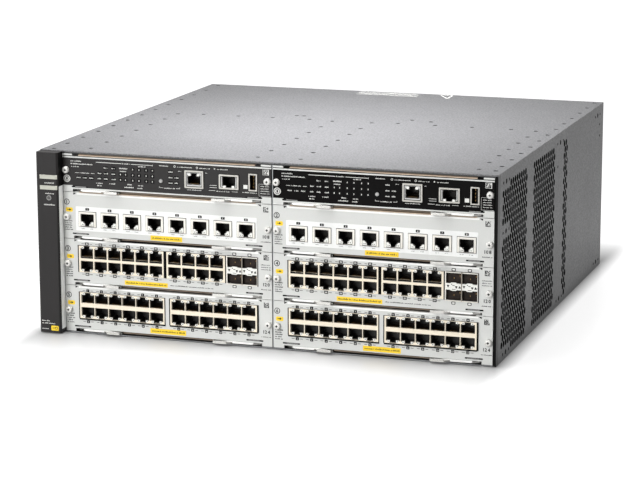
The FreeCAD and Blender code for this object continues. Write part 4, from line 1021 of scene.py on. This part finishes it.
for body in ("module_c", "module_d"):
    add(body, "light_guides", lamp_lens, "jack_shield", bar, bulges)
    add(body, "guide_bar", black_and_painted_shade, "jack_shield", ground, edges, triangles, nicks)
    add(body, "cage_fingers", tin, "jack_shield", spring)
    # The divider in a shaded metal colour and the bays' insides as dark brown boxes: painted shade.
    add(body, "bay_divider", bay_edge, "jack_shield", divider)
    add(body, "bay_shade_boxes", bay_shade_paint, "jack_shield", boxes(bays, bays + (13.9, 0.4, 9.4)))
    add(body, "bay_springs", gold, "jack_shield", boxes(flecks, flecks + (0.6, 0.3, 1.3)))
    add(body, "bay_fields", ink_light, "bright_sheet", pads(tags + (0.7, 0.6, -0.7, -0.6), 0.3, 0.17, 0.0))
    add(body, "bay_tags", dark_ink_and_shade, "bright_sheet", pads(tags, 0.5, 0.12),
        marks(words(107.5, 5.9, 151.0, 0.9, 5)))

# %% [markdown]
# ## Management modules
# The top row is dark print. It has a field of small lamp windows with light legends, a push button,
# three connectors and a bright rail along its top edge. The legends are left as plain strokes.

# %% Lamp windows, legends, rail and stamps
WINDOW_ROWS = {24.4: (44.0, 51.8, 71.3, 77.7, 84.9, 91.2, 109.2),
               19.1: (37.9, 44.1, 51.9, 59.0, 64.1, 71.3, 77.7, 84.9, 91.1, 109.2, 115.3),
               14.0: (16.0, 22.6, 29.2, 37.7, 44.0, 51.8, 58.9, 64.0, 71.3, 77.6, 84.9, 91.0, 109.2, 115.3)}
# Lines of lettering: left, low, right, height. Bars and the box: left, low, right, high.
LINES = ((8.4, 29.0, 19.0, 1.0), (8.4, 26.4, 31.0, 1.0), (8.9, 23.8, 16.6, 0.9), (17.6, 18.1, 28.0, 0.8),
         (60.5, 29.0, 68.2, 1.1), (57.8, 24.3, 65.9, 1.2), (58.5, 21.8, 65.0, 1.1), (77.0, 27.2, 84.8, 1.1),
         (34.2, 9.2, 41.0, 1.1), (35.1, 6.8, 40.4, 1.1), (47.6, 9.3, 54.0, 1.1), (65.8, 9.5, 70.5, 1.1),
         (62.7, 6.8, 72.8, 1.1), (76.7, 9.2, 81.8, 1.1), (75.9, 6.6, 81.8, 1.1), (98.1, 29.3, 107.0, 0.9),
         (116.0, 29.1, 131.0, 0.8), (138.0, 29.1, 149.0, 0.8), (155.5, 29.1, 166.5, 0.8),
         (102.6, 8.4, 113.8, 0.9), (125.8, 8.3, 140.0, 0.9), (154.6, 8.6, 168.6, 0.9),
         (180.2, 9.0, 194.6, 0.9), (117.0, 25.2, 120.5, 0.6), (144.0, 25.0, 147.0, 0.6))
BARS = ((34.3, 29.2, 59.6, 29.7), (69.6, 29.2, 91.6, 29.6), (90.9, 28.8, 91.6, 30.0),
        (12.6, 18.3, 16.6, 18.6), (28.9, 18.3, 32.6, 18.6), (97.8, 8.9, 101.6, 9.2),
        (114.6, 8.9, 118.4, 9.2), (97.8, 8.9, 98.1, 10.2), (118.1, 8.9, 118.4, 10.2),
        (148.0, 14.0, 155.0, 14.3), (148.0, 12.0, 155.0, 12.3), (147.0, 9.2, 153.6, 9.5),
        (169.6, 9.2, 175.4, 9.5), (152.4, 29.2, 153.6, 30.2), (181.2, 12.8, 185.2, 16.4))
BOX = ((196.2, 18.0, 208.0, 18.2), (196.2, 6.8, 208.0, 7.0), (196.2, 6.8, 196.4, 18.2))
RAIL = ((0.0, 32.5, PLATE_WIDTH, 33.8), (0.0, 34.6, 10.0, 36.2), (PLATE_WIDTH - 10, 34.6, PLATE_WIDTH, 36.2),
        (0.0, 0.0, 10.0, 6.2), (PLATE_WIDTH - 10, 0.0, PLATE_WIDTH, 6.2), (10.0, 2.8, PLATE_WIDTH - 10, 4.1))
spots = np.array([(x, z) for z, line in WINDOW_ROWS.items() for x in line])
across, up = spots.T
worded = (across < 56) | (across > 100)
legends = [words(x - 1.9, z - 0.55, x + 2.1, 1.25, step) if wide else [(x - 0.4, z - 0.6, x + 0.3, z + 0.7)]
           for step, ((x, z), wide) in enumerate(zip(spots, worded))]
lines = [words(*line, step + 50, 0.35) for step, line in enumerate(LINES)]
lines += [words(198.0, z, 206.5, 0.8, int(z * 3), 0.4) for z in (15.6, 13.4, 11.2, 9.0)]
pale = marks(np.concatenate([*legends, *lines, BARS, BOX]), 0.15)
rings = [ring(x, 29.7, 1.0, 0.65, 0.15) for x in (113.4, 135.6)]
swirl = join(ring(4.1, 12.5, 2.6, 2.1, 0.15), marks([(3.4, 11.2, 4.9, 13.8)], 0.15))
for body, seed in zip(MANAGERS, (34, 35)):
    cells = pads(about(across, up, np.where(worded, 2.4, 1.95), 1.65), 0.6, 0.1)
    add(body, "lamp_windows", black_and_painted_shade, "black_panel", cells)
    add(body, "light_print", ink_light, "black_panel", pale, disc(4.1, 12.5, 3.5), *rings)
    add(body, "patch_ground", ink_light, "black_panel", marks([(200.0, 26.6, 206.0, 31.9)]))
    patch = marks(block_patch(200.3, 26.9, 4.9, seed, 8), 0.15)
    add(body, "dark_marks", dark_ink_and_shade, "black_panel", patch, swirl)
    add(body, "bright_rail", finishes["bright_sheet"], "bright_sheet", marks(RAIL, 0.12, 0.0))

# %% [markdown]
# ## The connectors of the management modules
# Two sockets sit in wide tin shields and a narrow upright port stands beside them. Each gets a
# bright rim, black frames of painted shade in the gaps round the shield, its rim and its mouth, and a
# dull face with the socket's mouth in it, and inside lie the contacts. The first socket has its latch
# notch above, the second has it below.

# %% Rims, contacts and lamps
NETWORK, CONSOLE = (123.6, 10.5, 142.0, 26.9), (157.6, 11.6, 176.6, 25.0)
USB = (186.6, 11.2, 194.8, 27.2)
frames, gaps, faces, wires, lights = [], [], [], [], []
for (left, low, right, high), foot, side in ((NETWORK, 14.3, 1), (CONSOLE, 14.9, -1)):
    middle = (left + right) / 2
    outer = rounded(left - 0.1, low - 0.1, right + 0.1, high + 0.1, 0.8)
    wider = outer + np.sign(outer - (middle, (low + high) / 2)) * 0.35
    opening, mouth = port_mouth(middle, foot, side), port_mouth(middle, foot, side, wider=0.6)
    frames.append(surround(outer, window(left, low, right, high, -1.3), 0.8, 1.3))
    # Black frames of painted shade: in the gap inside the rim, round the rim on the plate, and round the mouth.
    gaps += [surround(window(left, low, right, high, -0.9), window(left, low, right, high, -1.9), 0.7, 0.9),
             surround(wider, outer, 0.0, 0.12), surround(mouth, opening, 0.78, 0.88)]
    faces.append(surround(window(left + 1.2, low + 0.3, right - 1.2, high - 1.2), mouth, 0.72, 0.84))
    wires.append(repeat(contacts(side), row([middle], foot)))
    lights.append(repeat(lamps(side, 1.3), row([middle], foot)))
left, low, right, high = USB
outer = rounded(left - 0.05, low - 0.05, right + 0.05, high + 0.05, 0.6)
frames.append(surround(outer, window(*USB, -1.1), 0.8, 1.2))
pins = np.array([(190.4, 1.2, z) for z in (14.0, 17.2, 20.4, 23.6)])
wires.append(boxes(pins, pins + (0.5, 7.8, 1.4)))
for body in MANAGERS:
    for label, material, shapes in (("connector_rims", tin, frames), ("connector_gaps", black_and_painted_shade, gaps),
                                    ("connector_faces", nickel, faces), ("contacts", gold, wires),
                                    ("lamps", lamp_lens, lights)):
        add(body, label, material, "jack_shield", *shapes)

# %% [markdown]
# ## The bezel
# The charcoal moulding at the left has two ridged light bars, a round locator lamp and a small
# yellow label. Its inner side shows a bright metal strip below the top row, and beside the top row a
# black strip of painted shade.

# %% Bezel strip, ridges, ring and marks
LENS_LEFT, LENS_WIDTH, LENS_HEIGHT = -half_width + 4.1, 17.6, 3.8
LEGENDS = ((-213.6, 145.0, -203.6, 1.3, 3), (-213.0, 134.9, -204.0, 1.3, 4), (-214.6, 124.2, -202.6, 1.3, 6),
           (-219.6, 11.6, -211.0, 1.0, 7), (-219.6, 9.2, -206.0, 1.0, 8), (-219.6, 3.9, -212.0, 0.9, 9))
LABEL_MARK = ((-209.2, 5.0, -206.8, 5.6), (-206.4, 4.2, -203.8, 4.6), (-206.4, 6.0, -203.8, 6.4),
              (-206.4, 4.2, -206.0, 6.4), (-204.2, 4.2, -203.8, 6.4))
bezel_low, bezel_high = (np.array(end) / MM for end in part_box("front_bezel"))
reach = front - bezel_low[1]
bezel_side = bezel_high[0]


def ridges(low, high, left, right, near, count):
    """Ridged lens front: a height that rises and falls like a row of half waves across the bar."""
    up = np.linspace(low, high, count * 4 + 1)
    out = near - 0.35 * np.abs(np.sin(math.pi * count * (up - low) / (high - low)))
    left_side = np.stack([np.full(len(up), left), out, up], 1)
    loop = np.concatenate([left_side, [(left, near + 0.4, high), (left, near + 0.4, low)]])
    return loft([loop, loop + (right - left, 0, 0)])


def before_bezel(shape):
    """A mark moved from the plates' level to the bezel's front."""
    points, faces = shape
    return points - (0, reach, 0), faces


def bezel_part(label, shape, material):
    """A piece on the bezel, which rides on the chassis."""
    put(f"bezel_{label}", shape, "chassis", material)


strip, painted_shade_strip = (boxes([(bezel_side, 1.9 - reach, low)], [(bezel_side + out, -0.2, high)])
                for low, high, out in ((4.6, 142.2, 0.12), (142.3, 174.3, 0.1)))
bezel_part("side_strip", strip, white_panel)
# Beside the top row the bezel's inner side is a black strip: painted shade.
bezel_part("side_shade", painted_shade_strip, black_and_painted_shade)
bars = [ridges(foot, foot + LENS_HEIGHT, LENS_LEFT, LENS_LEFT + LENS_WIDTH, -reach - 0.25, 3)
        for foot in (149.4, 139.2)]
bezel_part("lens_ridges", join(*bars), finishes["lens"])
bezel_part("locator_lens", before_bezel(disc(-209.25, 131.4, 2.6, 0.54)), smoked)
bezel_part("locator_ring", before_bezel(ring(-209.25, 131.4, 2.2, 1.85, 0.58)), nickel)
legend = np.concatenate([words(*line, 0.35) for line in LEGENDS])
bezel_part("light_print", before_bezel(marks(legend, 0.1, 0.02)), ink_light)
bezel_part("yellow_label", before_bezel(pads([(-210.4, 2.9, -202.8, 7.6)], 0.8, 0.1, 0.02, 4)), ink_yellow)
bezel_part("label_mark", before_bezel(marks(LABEL_MARK, 0.16, 0.0)), dark_ink_and_shade)

# %% [markdown]
# ## The stage, the light and the camera
# The photograph is a studio shot on white. A large soft key panel stands at the upper left, a wider
# one lights the front, and a small panel above makes the pale sheen on the lid. The right side has
# no lamp of its own: the white room lights it, a little dimmed towards the right. The camera stands
# where the photograph's edges and corners say it stood.

# %% Floor and background
FOOTPRINT = (0.22, 0.23, 0)


def stage_material():
    """A white floor that keeps the lamps' shadow beside the case, and glows to plain white further out,
    for the camera and at half strength in reflections: the glow grows with the distance from the case's
    footprint, faster to the sides. Kept low near the footprint, it makes the floor darker towards the
    case by position as well as by the lamps' shadow: painted shade."""
    material, tree, shader = new_material("studio_floor")
    rays = node(tree, "LightPath")
    mirrored = maths(tree, "MULTIPLY", rays.outputs["Is Glossy Ray"], 0.5)
    seen = maths(tree, "MAXIMUM", rays.outputs["Is Camera Ray"], mirrored)
    past = place_of(tree)
    for operation, *values in (("ABSOLUTE",), ("SUBTRACT", FOOTPRINT), ("MAXIMUM", (0, 0, 0)),
                               ("MULTIPLY", (6.0, 1.0, 1.0))):
        past = maths(tree, operation, past, *values, kind="VectorMath")
    distance = node(tree, "VectorMath", {0: past}, operation="LENGTH").outputs["Value"]
    # Low glow near the footprint, rising further out: painted shade at the edge of the case's shadow.
    glow = maths(tree, "MULTIPLY", seen, spread(tree, distance, 0.0, 0.11, 0.06, 0.82))
    tree.links.new(glow, shader.inputs["Emission Strength"])
    for label, value in (("Base Color", (0.3, 0.3, 0.3, 1)), ("Roughness", 0.35), ("Specular IOR Level", 0.3),
                         ("Emission Color", (1, 1, 1, 1))):
        shader.inputs[label].default_value = value
    return material


floor_mesh = bpy.data.meshes.new("floor")
floor_mesh.from_pydata([(-6, -6, 0), (6, -6, 0), (6, 8, 0), (-6, 8, 0)], [], [(0, 1, 2, 3)])
floor_mesh.materials.append(stage_material())
floor = show("floor", floor_mesh)
floor.location.z = -0.0005
floor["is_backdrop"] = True

world = bpy.data.worlds.new("studio")
world.use_nodes = True
bpy.context.scene.world = world
tree = world.node_tree
sky = tree.nodes["Background"]
seen = node(tree, "LightPath").outputs["Is Camera Ray"]
away = node(tree, "SeparateXYZ", {0: node(tree, "TexCoord").outputs["Generated"]}).outputs["X"]
lit = maths(tree, "MULTIPLY", spread(tree, away, 0.0, 0.9, 1.0, 0.7), 0.6)
tree.links.new(node(tree, "Mix", {0: seen, 2: lit, 3: 1.0}).outputs[0], sky.inputs["Strength"])
sky.inputs["Color"].default_value = (1, 1, 1, 1)

# %% Soft panels
LIGHTS = (("key_panel", (-1.3, -1.3, 2.0), 1.8, 30.0, 180), ("front_panel", (-1.1, -2.8, 0.8), 1.6, 40.0, 180),
          ("top_panel", (-0.06, -0.15, 0.6), 0.3, 3.1, 90))
target = Vector((0, 0, 0.08))
for name, place, width, power, beam in LIGHTS:
    lamp = bpy.data.lights.new(name, "AREA")
    lamp.size = width
    lamp.energy = power
    lamp.spread = math.radians(beam)
    panel = show(name, lamp)
    panel.location = place
    panel.rotation_euler = (target - Vector(place)).to_track_quat("-Z", "Y").to_euler()

# %% The camera, from the angles fitted to the photograph
AZIMUTH, ELEVATION, ROLL = math.radians(18.536), math.radians(12.015), math.radians(-0.105)
FOCAL_PIXELS, PICTURE_WIDTH, SENSOR_WIDTH = 2350.231, 640, 36
CAMERA_PLACE = (0.721885, (-1987.053 + front) * MM, 0.552026)
back = Vector((math.sin(AZIMUTH) * math.cos(ELEVATION), -math.cos(AZIMUTH) * math.cos(ELEVATION),
               math.sin(ELEVATION)))
right = Vector((0, 0, 1)).cross(back).normalized()
up = back.cross(right)
tilted_right = right * math.cos(ROLL) + up * math.sin(ROLL)
tilted_up = up * math.cos(ROLL) - right * math.sin(ROLL)
view = bpy.data.cameras.new("camera")
view.lens = FOCAL_PIXELS * SENSOR_WIDTH / PICTURE_WIDTH
view.clip_end = 50
camera = show("camera", view)
turn = Matrix((tilted_right, tilted_up, back)).transposed().to_4x4()
camera.matrix_world = Matrix.Translation(CAMERA_PLACE) @ turn
bpy.context.scene.camera = camera
bpy.context.scene.view_settings.view_transform = "Standard"

low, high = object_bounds()
print("visual box, mm:", [round(v / MM, 2) for v in (*low, *high)])
